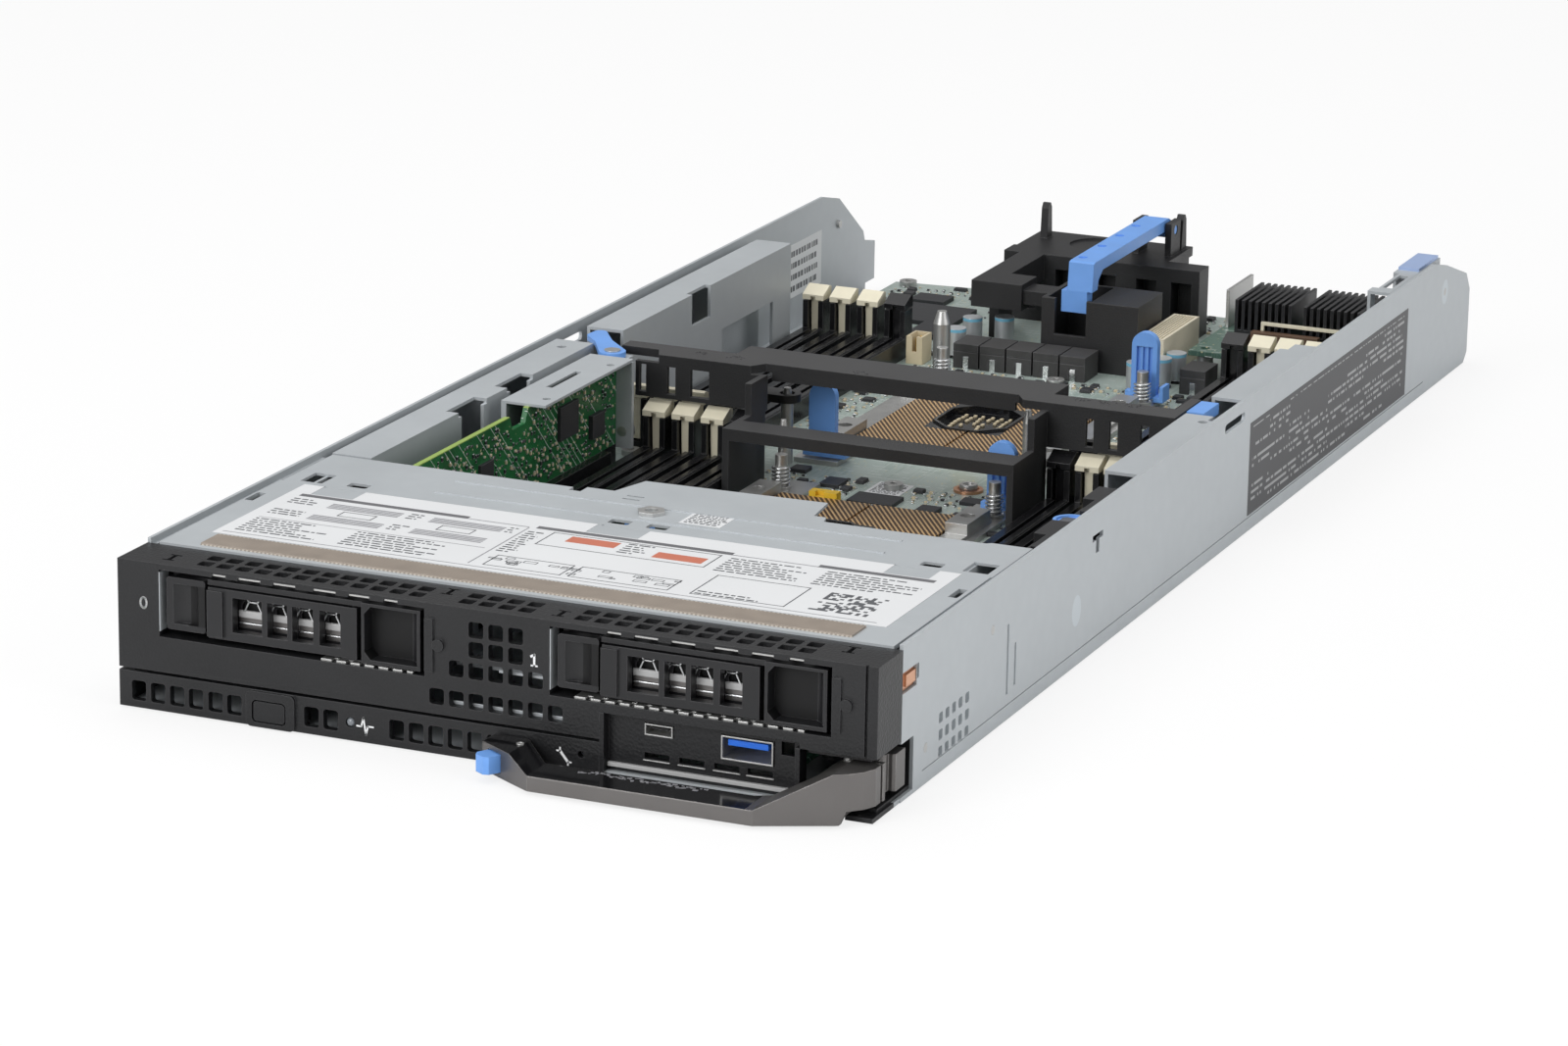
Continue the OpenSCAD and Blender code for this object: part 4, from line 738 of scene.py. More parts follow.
@dataclass
class CoverLabel(Assembly):
    """The paper label on the lid, with plain bars, boxes and lines."""

    x: tuple[float, float] = (-94.0, 95.5)
    y: tuple[float, float] = (29.0, 80.0)
    thick: float = 0.12
    ink: float = 0.03
    seed: int = 11
    notches: tuple[tuple[float, float], ...] = ((-88.0, -75.5), (-7.0, 8.0), (77.0, 89.5))
    notch_y: tuple[float, float] = (72.0, 80.5)
    titles: tuple[Rect, ...] = ((-90, -40, 69.2, 71.4), (-20, 36, 69.2, 71.4), (60, 92, 69.2, 71.4))
    rules: tuple[Rect, ...] = ((-40, -22, 69.2, 69.7), (36, 60, 69.2, 69.7), (-92, 92, 31.0, 31.4), (-22, -21.6, 33, 69),
                               (-90, -24, 47.0, 47.3))
    slots: tuple[Rect, ...] = ((-78, -57, 62.0, 66.6), (-48, -27, 62.0, 66.6), (-78, -57, 50.6, 55.2),
                               (-48, -27, 50.6, 55.2))
    outlines: tuple[Rect, ...] = ((-72, -62, 56.4, 60.8), (-43, -33, 56.4, 60.8), (40, 66, 33.5, 51.5),
                                  (-14, 34, 56, 68), (-18, 4, 33.5, 43), (6, 34, 33.5, 43))
    reds: tuple[Rect, ...] = ((-8, 6, 61.5, 66.5), (18, 32, 58.5, 63.5))

    def __post_init__(self) -> None:
        """Finds the lid's top."""
        self.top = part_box("drive_bay_cover")[1][2] / MM

    def plate(self, name: str, rects: Iterable[Rect], height: float, finish: Finish) -> None:
        """Lays flat marks on the label.

        Args:
            name: The piece's name.
            rects: Each mark's left, right, front and rear.
            height: How high the marks stand over the label's face.
            finish: Their finish.
        """
        base = self.top + self.thick
        mark = Workpiece.block(name, (-0.5, -0.5, 0), (0.5, 0.5, height))
        mark.choose(lambda c, n: n.z < -0.9)
        bpy.ops.mesh.delete(type="FACE")
        places = []
        for x0, x1, y0, y1 in rects:
            places.append(at((x0 + x1) / 2, back((y0 + y1) / 2), base, 0, (x1 - x0, y1 - y0, 1)))
        mark.copies(places).hand_over("chassis", finish)

    def frame_of(self, rect: Rect, line: float = 0.35) -> list[Rect]:
        """Returns the four strokes of a box's outline."""
        x0, x1, y0, y1 = rect
        return [(x0, x1, y0, y0 + line), (x0, x1, y1 - line, y1), (x0, x0 + line, y0, y1), (x1 - line, x1, y0, y1)]

    def lines(self, rect: Rect, pitch: float, rng: random.Random) -> list[Rect]:
        """Returns broken strokes that fill a box as small print would."""
        x0, x1, y0, y1 = rect
        out = []
        row = y1
        while row > y0:
            place = x0
            end = x0 + (x1 - x0) * rng.uniform(0.55, 1.0)
            while place < end:
                length = rng.uniform(0.7, 3.2)
                out.append((place, min(place + length, end), row - pitch * 0.4, row))
                place += length + 0.6
            row -= pitch
        return out

    def build(self) -> None:
        """Adds the label and everything printed on it."""
        rng = random.Random(self.seed)
        (x0, x1), (y0, y1) = self.x, self.y
        low, high = corners(self.x, self.y, (self.top, self.top + self.thick))
        sheet = Workpiece.block("cover_label", low, high)
        for left, right in self.notches:
            sheet.cut(Workpiece.block("notch", *corners((left, right), self.notch_y, (self.top - 1, self.top + 1))))
        sheet.modify("BEVEL", width=1.6 * MM, segments=4, affect="EDGES", limit_method="ANGLE",
                     angle_limit=math.radians(80))
        sheet.hand_over("chassis", PAPER)
        self.plate("label_titles", self.titles, self.ink, TITLE_INK)
        stripes = [(x0, x1, y0 + k * 1.2, y0 + k * 1.2 + 0.75) for x0, x1, y0, _ in self.slots for k in range(4)]
        self.plate("label_bars", list(self.rules) + stripes, self.ink, GREY_INK_AND_REFLECTION)
        self.plate("label_red_bars", self.reds, self.ink, RED_INK)
        strokes = [s for rect in self.outlines for s in self.frame_of(rect)]
        for rect in ((-55, -50, 62, 67), (-26, -23.5, 62, 67), (-55, -50, 50.5, 56), (-90, -80, 62, 67), (-90, -80, 50.5, 56),
                     (-90, -66, 34, 46), (-60, -30, 34, 46), (-20.5, -15, 46, 66), (8, 16, 58, 67), (37, 60, 54, 67),
                     (64, 92, 54, 67), (41, 65, 34.5, 37)):
            strokes += self.lines(rect, 1.9, rng)
        for k in range(26):
            x = -20 + 53 * rng.random()
            y = 35 + 6.5 * rng.random()
            strokes += self.frame_of((x, x + rng.uniform(1.5, 4), y, y + rng.uniform(0.8, 1.8)), 0.25)
        self.plate("label_print", strokes, self.ink, INK)
        self.pattern_square((72.0, 34.5), 1.05, 15, rng)

    def pattern_square(self, corner: tuple[float, float], cell: float, count: int, rng: random.Random) -> None:
        """Adds a square of plain mixed dots, which stands for nothing."""
        dots = []
        for i in range(count):
            for j in range(count):
                if rng.random() < 0.48:
                    x = corner[0] + i * cell
                    y = corner[1] + j * cell
                    dots.append((x, x + cell, y, y + cell))
        self.plate("label_dots", dots, self.ink, INK)


@dataclass
class SmallLabels(Assembly):
    """Three small white labels: on the deck, on the board and inside the left plate."""

    deck: Rect = (10.5, 22.5, 92.0, 103.0)
    board: Rect = (-2.0, 9.0, 251.5, 264.0)
    wall_y: tuple[float, float] = (432.0, 461.0)
    wall_z: tuple[float, float] = (12.0, 30.0)

    def flat(self, name: str, rect: Rect, z: float, rng: random.Random) -> None:
        """Adds one lying label with plain strokes."""
        x0, x1, y0, y1 = rect
        sheet = Workpiece.block(name, *corners((x0, x1), (y0, y1), (z, z + 0.1)))
        sheet.modify("BEVEL", width=0.5 * MM, segments=3, limit_method="ANGLE", angle_limit=math.radians(80))
        sheet.hand_over("chassis", PAPER)
        mark = Workpiece.block(f"{name}_print", (-0.5, -0.5, 0), (0.5, 0.5, 0.03))
        mark.choose(lambda c, n: n.z < -0.9)
        bpy.ops.mesh.delete(type="FACE")
        places = []
        row = y0 + 1.4
        while row < y1 - 1:
            place = x0 + 1
            while place < x1 - 1.5:
                length = rng.uniform(0.3, 1.4)
                places.append(at(place + length / 2, back(row), z + 0.1, 0, (length, 0.7, 1)))
                place += length + 0.45
            row += 1.35
        mark.copies(places).hand_over("chassis", INK)

    def build(self) -> None:
        """Adds the labels."""
        rng = random.Random(5)
        self.flat("deck_label", self.deck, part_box("rear_deck")[1][2] / MM - 0.3, rng)
        self.flat("board_label", self.board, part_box("motherboard")[1][2] / MM, rng)
        x = cad_low[0] / MM + 1.0
        sheet = Workpiece.block("wall_label", *corners((x, x + 0.1), self.wall_y, self.wall_z))
        sheet.modify("BEVEL", width=0.8 * MM, segments=3, limit_method="ANGLE", angle_limit=math.radians(80))
        sheet.hand_over("chassis", PAPER)
        mark = Workpiece.block("wall_label_print", (0, -0.5, -0.5), (0.03, 0.5, 0.5))
        mark.choose(lambda c, n: n.x < -0.9)
        bpy.ops.mesh.delete(type="FACE")
        places = []
        for row in range(4):
            z = self.wall_z[0] + 3 + row * 3.9
            place = self.wall_y[0] + 4
            while place < self.wall_y[1] - 3:
                length = rng.uniform(0.6, 1.9)
                places.append(at(x + 0.1, back(place), z, 0, (1, length, 1.9)))
                place += length + 0.7
        mark.copies(places).hand_over("chassis", INK)


def drawn(name: str, points: Sequence[tuple[float, float]], width: float, y: float = 0.0, depth: float = 0.06,
          closed: bool = False) -> Workpiece:
    """Draws a line of bars on an upright face.

    Args:
        name: The piece's name.
        points: The line's points in X and Z.
        width: Width of the line.
        y: The face's place behind the bezel's face.
        depth: How far the line stands out.
        closed: Whether it comes back to its start.

    Returns:
        The piece.
    """
    ends = list(points) + ([points[0]] if closed else [])
    bar = Workpiece.block(name, (-0.5, -depth, -width / 2), (0.5, 0, width / 2))
    bar.choose(lambda c, n: n.y > 0.9)
    bpy.ops.mesh.delete(type="FACE")
    places = []
    for (xa, za), (xb, zb) in zip(ends, ends[1:]):
        length = math.hypot(xb - xa, zb - za) + width * 0.6
        turn = Matrix.Rotation(-math.atan2(zb - za, xb - xa), 4, "Y")
        middle = Vector(((xa + xb) / 2, back(y), (za + zb) / 2)) * MM
        places.append(Matrix.Translation(middle) @ turn @ Matrix.Diagonal((length, 1, 1, 1)))
    return bar.copies(places)


@dataclass
class FrontFace(Assembly):
    """The bezel, the strip below it, the ports and what is printed on them."""

    zero_at: tuple[float, float] = (-98.0, 28.5)
    one_at: tuple[float, float] = (13.0, 28.5)
    mark_h: float = 3.3
    pulse_at: tuple[float, float] = (-34.3, 4.2)
    spanner_at: tuple[float, float] = (21.4, 4.5)
    lens_at: tuple[float, float] = (-38.6, 4.8)
    slot_x: tuple[float, ...] = (42.0, 51.5, 61.0, 70.0)
    slot_w: float = 6.8
    slot_z: float = 6.2
    panel_y: float = 3.0
    clip_at: tuple[tuple[float, float], ...] = ((-93.0, 6.5), (-15.6, 11.0), (17.5, 6.5), (94.0, 10.5))
    behind_vents: tuple[tuple[tuple[float, float], tuple[float, float]], ...] = (
        ((-12.0, 28.0), (12.6, 13.9)), ((2.0, 16.0), (22.9, 23.7)))

    def dress(self) -> None:
        """Gives the mouldings, springs and sockets their finishes."""
        for node in ("front_bezel", "lower_vent_strip", "port_panel", "handle_bracket", "power_button"):
            dress(node, BLACK)
        dress("contact_springs", STEEL)
        dress("usb_ports", STEEL, [
            zone((64.4, 75.6), (3.1, 17), (12.8, 14.5), PORT_BLUE),
            zone((41.0, 50.5), (4.7, 9.2), (8, 12.4), BLACK),
            zone((43.5, 48.5), (3.3, 8.1), (14.0, 14.6), GLOSS_BLACK)])
        dress("front_io_board", self.small_board, [zone((30, 90), ANY, (0, 7.7), STEEL)])

    def small_board(self, brush: Brush) -> Layer:
        """Returns the front board's finish."""
        return board_layer(brush, (0.035, 0.12, 0.075), (0.05, 0.17, 0.1))

    def build(self) -> None:
        """Adds the numerals, the two plain signs and the status lens."""
        x, z = self.zero_at
        half = self.mark_h / 2
        ring = [(x + 0.9 * math.cos(a), z + (half - 0.25) * math.sin(a))
                for a in (math.tau * k / 14 for k in range(14))]
        drawn("bay_number_0", ring, 0.55, closed=True).hand_over("chassis", WHITE)
        x, z = self.one_at
        one = [(x - 0.8, z + half - 0.75), (x + 0.1, z + half - 0.25), (x + 0.1, z - half + 0.2)]
        drawn("bay_number_1", one, 0.62).hand_over("chassis", WHITE)
        foot = [(x - 0.75, z - half + 0.2), (x + 0.95, z - half + 0.2)]
        drawn("bay_number_1_foot", foot, 0.42).hand_over("chassis", WHITE)
        x, z = self.pulse_at
        pulse = [(x - 2.4, z), (x - 1.1, z), (x - 0.5, z + 2.3), (x + 0.2, z - 2.0), (x + 0.8, z + 0.2), (x + 2.3, z + 0.2)]
        drawn("pulse_sign", pulse, 0.45).hand_over("chassis", WHITE)
        x, z = self.spanner_at
        drawn("spanner_sign", [(x - 1.1, z + 1.4), (x + 1.1, z - 1.3)], 0.7).hand_over("chassis", WHITE)
        jaws = drawn("spanner_jaws", [(x - 2.0, z + 1.4), (x - 1.1, z + 1.3), (x - 1.1, z + 2.3)], 0.42)
        jaws.hand_over("chassis", WHITE)
        tail = drawn("spanner_tail", [(x + 2.0, z - 1.3), (x + 1.1, z - 1.2), (x + 1.1, z - 2.1)], 0.42)
        tail.hand_over("chassis", WHITE)
        self.lens()
        self.jambs()
        self.recess_lips()
        self.top_clips()

    def top_clips(self) -> None:
        """Adds the bright spring bars in the slotted top and behind the middle air holes."""
        for number, (x, y) in enumerate(self.clip_at):
            bar = Workpiece.block(f"top_clip_{number}", *corners((x - 0.35, x + 0.35), (y - 2.1, y + 2.1), (38.1, 38.45)))
            bar.soften(0.1).hand_over("chassis", STEEL, "hardware_steel")
        for number, (x, z) in enumerate(self.behind_vents):
            bar = Workpiece.block(f"vent_bar_{number}", *corners(x, (2.6, 3.0), z))
            bar.soften(0.12).hand_over("chassis", ZINC, "zinc_sheet")

    def recess_lips(self) -> None:
        """Adds the bright lips under the four slots and along the foot of the port recess."""
        face = box_of("port_panel")
        for number, x in enumerate(self.slot_x):
            lip = [(x - 0.2, self.slot_z - 0.35), (x + self.slot_w + 0.2, self.slot_z - 0.35)]
            drawn(f"slot_lip_{number}", lip, 0.3, self.panel_y, 0.25).hand_over("chassis", STEEL)
        foot = Workpiece.block("recess_lip", *corners((face[0][0] + 1.4, face[1][0] - 1.4), (1.8, self.panel_y - 0.05),
                                                      (face[0][2] + 1.2, face[0][2] + 2.3)))
        foot.soften(0.12).hand_over("chassis", DISK, "zinc_sheet")

    def lens(self) -> None:
        """Adds the small domed status lens."""
        clear_selection()
        x, z = self.lens_at
        bpy.ops.mesh.primitive_uv_sphere_add(segments=24, ring_count=12, radius=1.28 * MM,
                                             location=(x * MM, back(1.0) * MM, z * MM))
        dome = Workpiece("status_lens")
        dome.choose(lambda c, n: True)
        bpy.ops.mesh.bisect(plane_co=(0, back(0.9) * MM, 0), plane_no=(0, 1, 0), use_fill=True, clear_outer=True)
        dome.close().smooth().hand_over("chassis", LENS)

    def jambs(self) -> None:
        """Adds the light plate that shows at the left of each bay."""
        for number in (0, 1):
            low, high = box_of(f"drive_{number}_carrier")
            x = low[0] - 1.35
            strip = Workpiece.block(f"bay_{number}_jamb", *corners((x - 0.3, x), (0.05, 5.0), (21.4, 37.2)))
            strip.soften(0.1).hand_over("chassis", ZINC, "zinc_sheet")


@dataclass
class Handle(Assembly):
    """The swing-out handle with its dark top strip and rivet."""

    strip_end: float = 78.0
    rivet_at: tuple[float, float] = (12.0, -5.6)
    # Where the painted reflections lie on the dark strip.
    glint_x: tuple[float, float] = (30.0, 64.0)
    glint_y: tuple[float, float] = (-9.6, -7.4)

    def dress(self) -> None:
        """Gives the handle its satin metal and its top a gloss black strip."""
        brush = Brush("sled_handle_look")
        short = brush.within(*corners((-20, self.strip_end), (-60, 20), (3, 12)))
        mask = brush.math("MULTIPLY", brush.lying(0.45), short)
        layer = brush.over(mask, GUNMETAL.layer(brush), GLOSS_BLACK.layer(brush))
        wear("sled_handle", brush.done(layer, GUNMETAL.relief, GUNMETAL.edge_mm))
        dress("handle_release", BLUE)
        dress("handle_pivot_pin", STEEL)

    def build(self) -> None:
        """Adds the bright rivet on the handle's left block."""
        x, y = self.rivet_at
        rivet = Workpiece.drum("handle_rivet", (x, back(y), 7.9), 1.0, 0.5, 24)
        rivet.choose(lambda c, n: n.z > 0.9).inset(0.35).push(0, 0, -0.15).close()
        rivet.soften(0.12).smooth().hand_over("handle", STEEL, "hardware_steel")
        self.marks()

    def marks(self) -> None:
        """Adds the small uneven silver marks on the dark strip: painted reflections, which spell nothing."""
        rng = random.Random(8)
        mark = Workpiece.block("handle_marks", (-0.5, -0.5, 0), (0.5, 0.5, 0.04))
        mark.choose(lambda c, n: n.z < -0.9)
        bpy.ops.mesh.delete(type="FACE")
        places = []
        x = self.glint_x[0]
        while x < self.glint_x[1]:
            size = (rng.uniform(0.4, 1.5), rng.uniform(0.3, 1.1), 1)
            places.append(at(x, back(rng.uniform(*self.glint_y)), 4.5, rng.uniform(-30, 30), size))
            x += rng.uniform(0.4, 1.1)
        mark.copies(places).hand_over("handle", GREY_INK_AND_REFLECTION)


@dataclass
class Drives(Assembly):
    """The two drives."""

    count: int = 2
    windows: tuple[tuple[float, float], ...] = ((21.0, 29.5), (31.0, 36.8), (38.2, 44.2), (46.0, 52.0))
    carrier_lip: float = 1.6
    face: float = 4.9
    sill: float = 28.4
    disk_face: tuple[float, float] = (6.0, 6.6)
    ridge: float = 31.1

    def dress(self) -> None:
        """Gives the trays their black and the disks their cast metal, with painted shade in each tray's pocket, in each
        release's dish and on each disk's face behind the window arches.
        """
        for number in range(self.count):
            body = f"drive_{number}"
            left = box_of(f"{body}_carrier")[0][0] - self.carrier_lip
            # Painted shade: near-black zones in the pocket, in the release's dish and on the disk's face, where shade
            # falls.
            pocket_shade = [zone((left + 58.8, left + 70.2), (0.6, 6.3), (22.0, 36.0), PAINTED_SHADE_BLACK)]
            dish_shade = [zone((left + 8.2, left + 18.2), ANY, (23.9, 34.7), PAINTED_SHADE_BLACK)]
            dress(f"{body}_carrier", SATIN_BLACK, pocket_shade)
            dress(f"{body}_release", SATIN_BLACK, dish_shade)
            dress(f"{body}_lever", SATIN_BLACK)
            dress(f"{body}_disk", DISK, [zone(ANY, self.disk_face, (self.sill, 37.0), PAINTED_SHADE_BLACK)])

    def build(self) -> None:
        """Adds the bright stamped plate that shows behind each tray's windows."""
        for number in range(self.count):
            left = box_of(f"drive_{number}_carrier")[0][0] - self.carrier_lip
            self.stamped_plate(number, left)

    def stamped_plate(self, number: int, left: float) -> None:
        """Adds one tray's plate: a band below, and above it an arch with two ears in each window.

        Args:
            number: The drive's number.
            left: The bay's left side.
        """
        body = f"drive_{number}"
        y = self.face
        for k, (x0, x1) in enumerate(self.windows):
            low, high = left + x0, left + x1
            wide_x = (low - 0.3, high + 0.3)
            band = Workpiece.block(f"{body}_band_{k}", *corners(wide_x, (y - 0.3, y), (26.9, self.sill)))
            band.choose(lambda c, n: n.z > 0.9).push(0, 0.25, 0.3).close()
            band.hand_over(body, DISK)
            # Painted shade: a dark gunmetal strip below the band stands for the shade under it.
            shade = Workpiece.block(f"{body}_shade_{k}", *corners(wide_x, (y - 0.1, y), (24.0, 26.9)))
            shade.soften(0.03, 1).hand_over(body, GUNMETAL)
            roll = Workpiece.block(f"{body}_roll_{k}", *corners((low - 0.2, high + 0.2), (y - 0.75, y - 0.3), (25.2, 25.7)))
            roll.soften(0.15).hand_over(body, TIN)
            share = [high - f for f in (7.2, 5.9, 3.5, 2.2)]
            arch = [(share[0], self.sill), (share[1], self.ridge), (share[2], self.ridge), (share[3], self.sill)]
            drawn(f"{body}_arch_{k}", arch, 0.34, y, 0.3).hand_over(body, TIN)
            for side, x in (("left", share[1]), ("right", share[2])):
                lean = -0.5 if side == "left" else 0.5
                ear = [(x, self.ridge), (x + lean, self.ridge + 0.7)]
                drawn(f"{body}_ear_{k}_{side}", ear, 0.34, y, 0.3).hand_over(body, TIN)


@dataclass
class Memory(Assembly):
    """The memory sockets with ivory and black ejectors."""

    black_front: tuple[float, float] = (-39.3, 59.6)
    black_rear: tuple[float, float] = (-53.6, 59.6)
    half_pitch: float = 4.2

    def dress(self) -> None:
        """Gives sockets and ejectors their finishes."""
        dress("dimm_sockets", SOCKET_BLACK)
        for bank, blacks in (("front", self.black_front), ("rear", self.black_rear)):
            zones = [zone((x - self.half_pitch, x + self.half_pitch), ANY, ANY, SOCKET_BLACK) for x in blacks]
            for end in ("fore", "aft"):
                dress(f"latches_{bank}_{end}", IVORY, zones)


@dataclass
class Processors(Assembly):
    """The contact fields with their frames, clips, posts and springs."""

    centres: tuple[tuple[float, float], ...] = ((9.0, 192.5), (4.5, 330.0))
    window: tuple[float, float] = (-2.0, 2.0)
    stud_x: tuple[float, float] = (-32.0, 34.5)
    stud_y: tuple[float, float] = (-46.5, 46.5)
    coil_r: float = 2.45
    wire: float = 0.32
    turns: int = 5

    def dress(self) -> None:
        """Gives frames, posts, fields and clips their finishes."""
        dress("bolster_plates", STEEL)
        dress("guide_posts", STEEL)
        zones = [zone((x - 14.2, x + 10.2), (y - 13.2, y + 17.2), ANY, GLOSS_BLACK) for x, y in self.centres]
        dress("cpu_sockets", contact_layer, zones)
        for clip in ("front_left", "front_right", "rear_left", "rear_right"):
            dress(f"cpu_clip_{clip}", BLUE)

    def build(self) -> None:
        """Adds the springs on the studs and the small parts in the windows."""
        self.springs()
        self.window_parts()

    def springs(self) -> None:
        """Winds one spring and copies it to each stud."""
        clear_selection()
        bpy.ops.mesh.primitive_circle_add(vertices=8, radius=self.wire * MM, fill_type="NOTHING",
                                          location=(self.coil_r * MM, 0, 0), rotation=(math.pi / 2, 0, 0))
        coil = Workpiece("stud_springs")
        coil.modify("SCREW", angle=math.tau * self.turns, screw_offset=5.6 * MM, steps=16 * self.turns,
                    render_steps=16 * self.turns, use_merge_vertices=False, axis="Z")
        coil.choose(lambda c, n: True)
        bpy.ops.mesh.edge_face_add()
        bpy.ops.mesh.normals_make_consistent(inside=False)
        coil.close()
        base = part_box("bolster_plates")[1][2] / MM - 10.5 + 1.3
        places = [at(cx + sx, back(cy + sy), base) for cx, cy in self.centres for sx in self.stud_x for sy in self.stud_y]
        coil.copies(places).smooth(60).hand_over("chassis", TIN, "hardware_steel")

    def window_parts(self) -> None:
        """Adds the small light parts that stand in the fields' windows."""
        part = Workpiece.block("window_parts", (-0.45, -0.95, 0), (0.45, 0.95, 0.7)).soften(0.1, 1)
        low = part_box("cpu_sockets")[0][2] / MM + 1.0
        places = []
        rng = random.Random(3)
        for cx, cy in self.centres:
            for i in range(6):
                for j in range(7):
                    if rng.random() < 0.75:
                        x = cx + self.window[0] - 7.6 + i * 2.9 + rng.uniform(-0.3, 0.3)
                        y = cy + self.window[1] - 8.5 + j * 2.8
                        places.append(at(x, back(y), low, rng.uniform(-6, 6), (1, rng.uniform(0.7, 1.2), 1)))
        part.copies(places).hand_over("chassis", CREAM)


@dataclass
class Board(Assembly):
    """The motherboard and what is soldered to it."""

    regions: tuple[Rect, ...] = ((-45, 56, 250.5, 262), (-45, 56, 388, 398), (-48, -36, 108, 200),
                                 (-46, 26, 409, 423), (-60, -42, 409, 425), (-88, -62, 409, 440),
                                 (-88, -38, 468, 495), (-60, -42, 425, 466), (32, 56, 388, 400),
                                 (46, 57, 120, 240), (-48, -37, 290, 390), (44, 57, 290, 395),
                                 (14, 92, 474, 496), (-15, 35, 238, 250))
    keep_out: tuple[Rect, ...] = ((-34, 53, 396, 412), (-49, -41, 394, 406), (-40, -24, 408, 436),
                                  (-76, -50, 443, 482), (-4, 11, 250, 266), (20, 30, 261, 271),
                                  (-36, -24, 376, 389), (36, 52, 240, 250), (30, 42, 409, 417),
                                  (-3, 13, 237, 249), (19, 27, 236, 243))
    counts: tuple[int, ...] = (900, 120)
    seed: int = 21

    def dress(self) -> None:
        """Gives the boards, chips and other parts their finishes."""
        dress("motherboard", self.board)
        dress("board_chips", EPOXY)
        dress("power_inductors", FERRITE, [zone((x - 0.85, x + 0.85), (y - 6.1, y - 5.4), (5.5, 9.9), TIN)
                                           for x, y in self.inductors()])
        top = box_of("capacitors")[1][2]
        dress("capacitors", CAN, [zone(ANY, ANY, (6.0, 7.0), GLOSS_BLACK), zone(ANY, ANY, (top - 1.1, top - 0.15), RIM_BLUE)])
        dress("board_headers", CREAM, [
            zone((-20, 25), (225, 300), ANY, YELLOW), zone((-45.2, -44.4), (397.8, 402.2), ANY, GOLD)])
        x, y, z = (98.9, 151.5, 36.0)
        dress("pull_ring", BLUE, [zone((x - 3.6, x + 3.6), (y - 3.6, y + 3.6), (0, z + 0.05), GREY_PART)])
        dress("backplane_board", self.dark_board, [
            zone(ANY, (100, 105.55), (22, 27), SOCKET_BLACK)])
        dress("side_card_guides", SATIN_BLACK)

    def inductors(self) -> list[tuple[float, float]]:
        """Returns the inductors' centres."""
        return [(-28 + 9 * k, 404) for k in range(5)] + [(47.5, 405)]

    def board(self, brush: Brush) -> Layer:
        """Returns the motherboard's finish."""
        return board_layer(brush, (0.31, 0.38, 0.347), (0.42, 0.485, 0.455))

    def dark_board(self, brush: Brush) -> Layer:
        """Returns the drive board's finish."""
        return board_layer(brush, (0.02, 0.07, 0.04), (0.03, 0.1, 0.06))

    def build(self) -> None:
        """Adds the hundreds of small soldered parts."""
        rng = random.Random(self.seed)
        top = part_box("motherboard")[1][2] / MM
        spots = self.spread(rng, self.counts[0])
        bodies, ends, darks = [], [], []
        for x, y in spots:
            turn = rng.choice((0, 90))
            size = rng.choice((0.7, 0.9, 1.2))
            place = at(x, back(y), top, turn, (size, size, size))
            (bodies if rng.random() < 0.6 else darks).append(place)
            ends.append(place)
        chip_resistor("board_small_parts", bodies, CREAM, "chassis")
        chip_resistor("board_dark_parts", darks, EPOXY, "chassis")
        solder_ends("board_solder_ends", ends, "chassis")
        chips = [at(x, back(y), top, rng.choice((0, 90)), (rng.uniform(0.7, 1.5), rng.uniform(0.7, 1.3), 1))
                 for x, y in self.spread(rng, self.counts[1], 4.0)]
        leaded_chip("board_small_chips", chips, "chassis")

    def spread(self, rng: random.Random, count: int, apart: float = 1.9) -> list[tuple[float, float]]:
        """Picks places on the open board, apart from each other and from what stands there."""
        areas = [(r[1] - r[0]) * (r[3] - r[2]) for r in self.regions]
        out: list[tuple[float, float]] = []
        for _ in range(count * 6):
            if len(out) >= count:
                break
            x0, x1, y0, y1 = rng.choices(self.regions, areas)[0]
            x, y = rng.uniform(x0, x1), rng.uniform(y0, y1)
            if any(k[0] - 1 < x < k[1] + 1 and k[2] - 1 < y < k[3] + 1 for k in self.keep_out):
                continue
            if all(abs(x - a) > apart or abs(y - b) > apart for a, b in out):
                out.append((x, y))
        return out


GREY_PART = Finish("grey_part_finish", (0.12, 0.12, 0.125), 0.0, 0.45, 0.05, 5, Grain.FINE, 0.3, 0.01)


def chip_resistor(name: str, places: list[Matrix], finish: Finish, body: str) -> None:
    """Adds small two-ended parts at each place."""
    part = Workpiece.block(name, (-0.5, -0.4, 0), (0.5, 0.4, 0.5))
    part.choose(lambda c, n: n.z > 0.9).inset(0.08).push(0, 0, 0.06).close()
    part.copies(places).hand_over(body, finish)


def solder_ends(name: str, places: list[Matrix], body: str) -> None:
    """Adds the bright ends of the small parts."""
    end = Workpiece.block(name, (0.5, -0.42, 0), (0.85, 0.42, 0.5))
    end.choose(lambda c, n: n.x > 0.9).grow(1, 0.8, 0.5).close()
    mirrored = [p @ Matrix.Rotation(math.pi, 4, "Z") for p in places]
    end.copies(places + mirrored).hand_over(body, TIN)


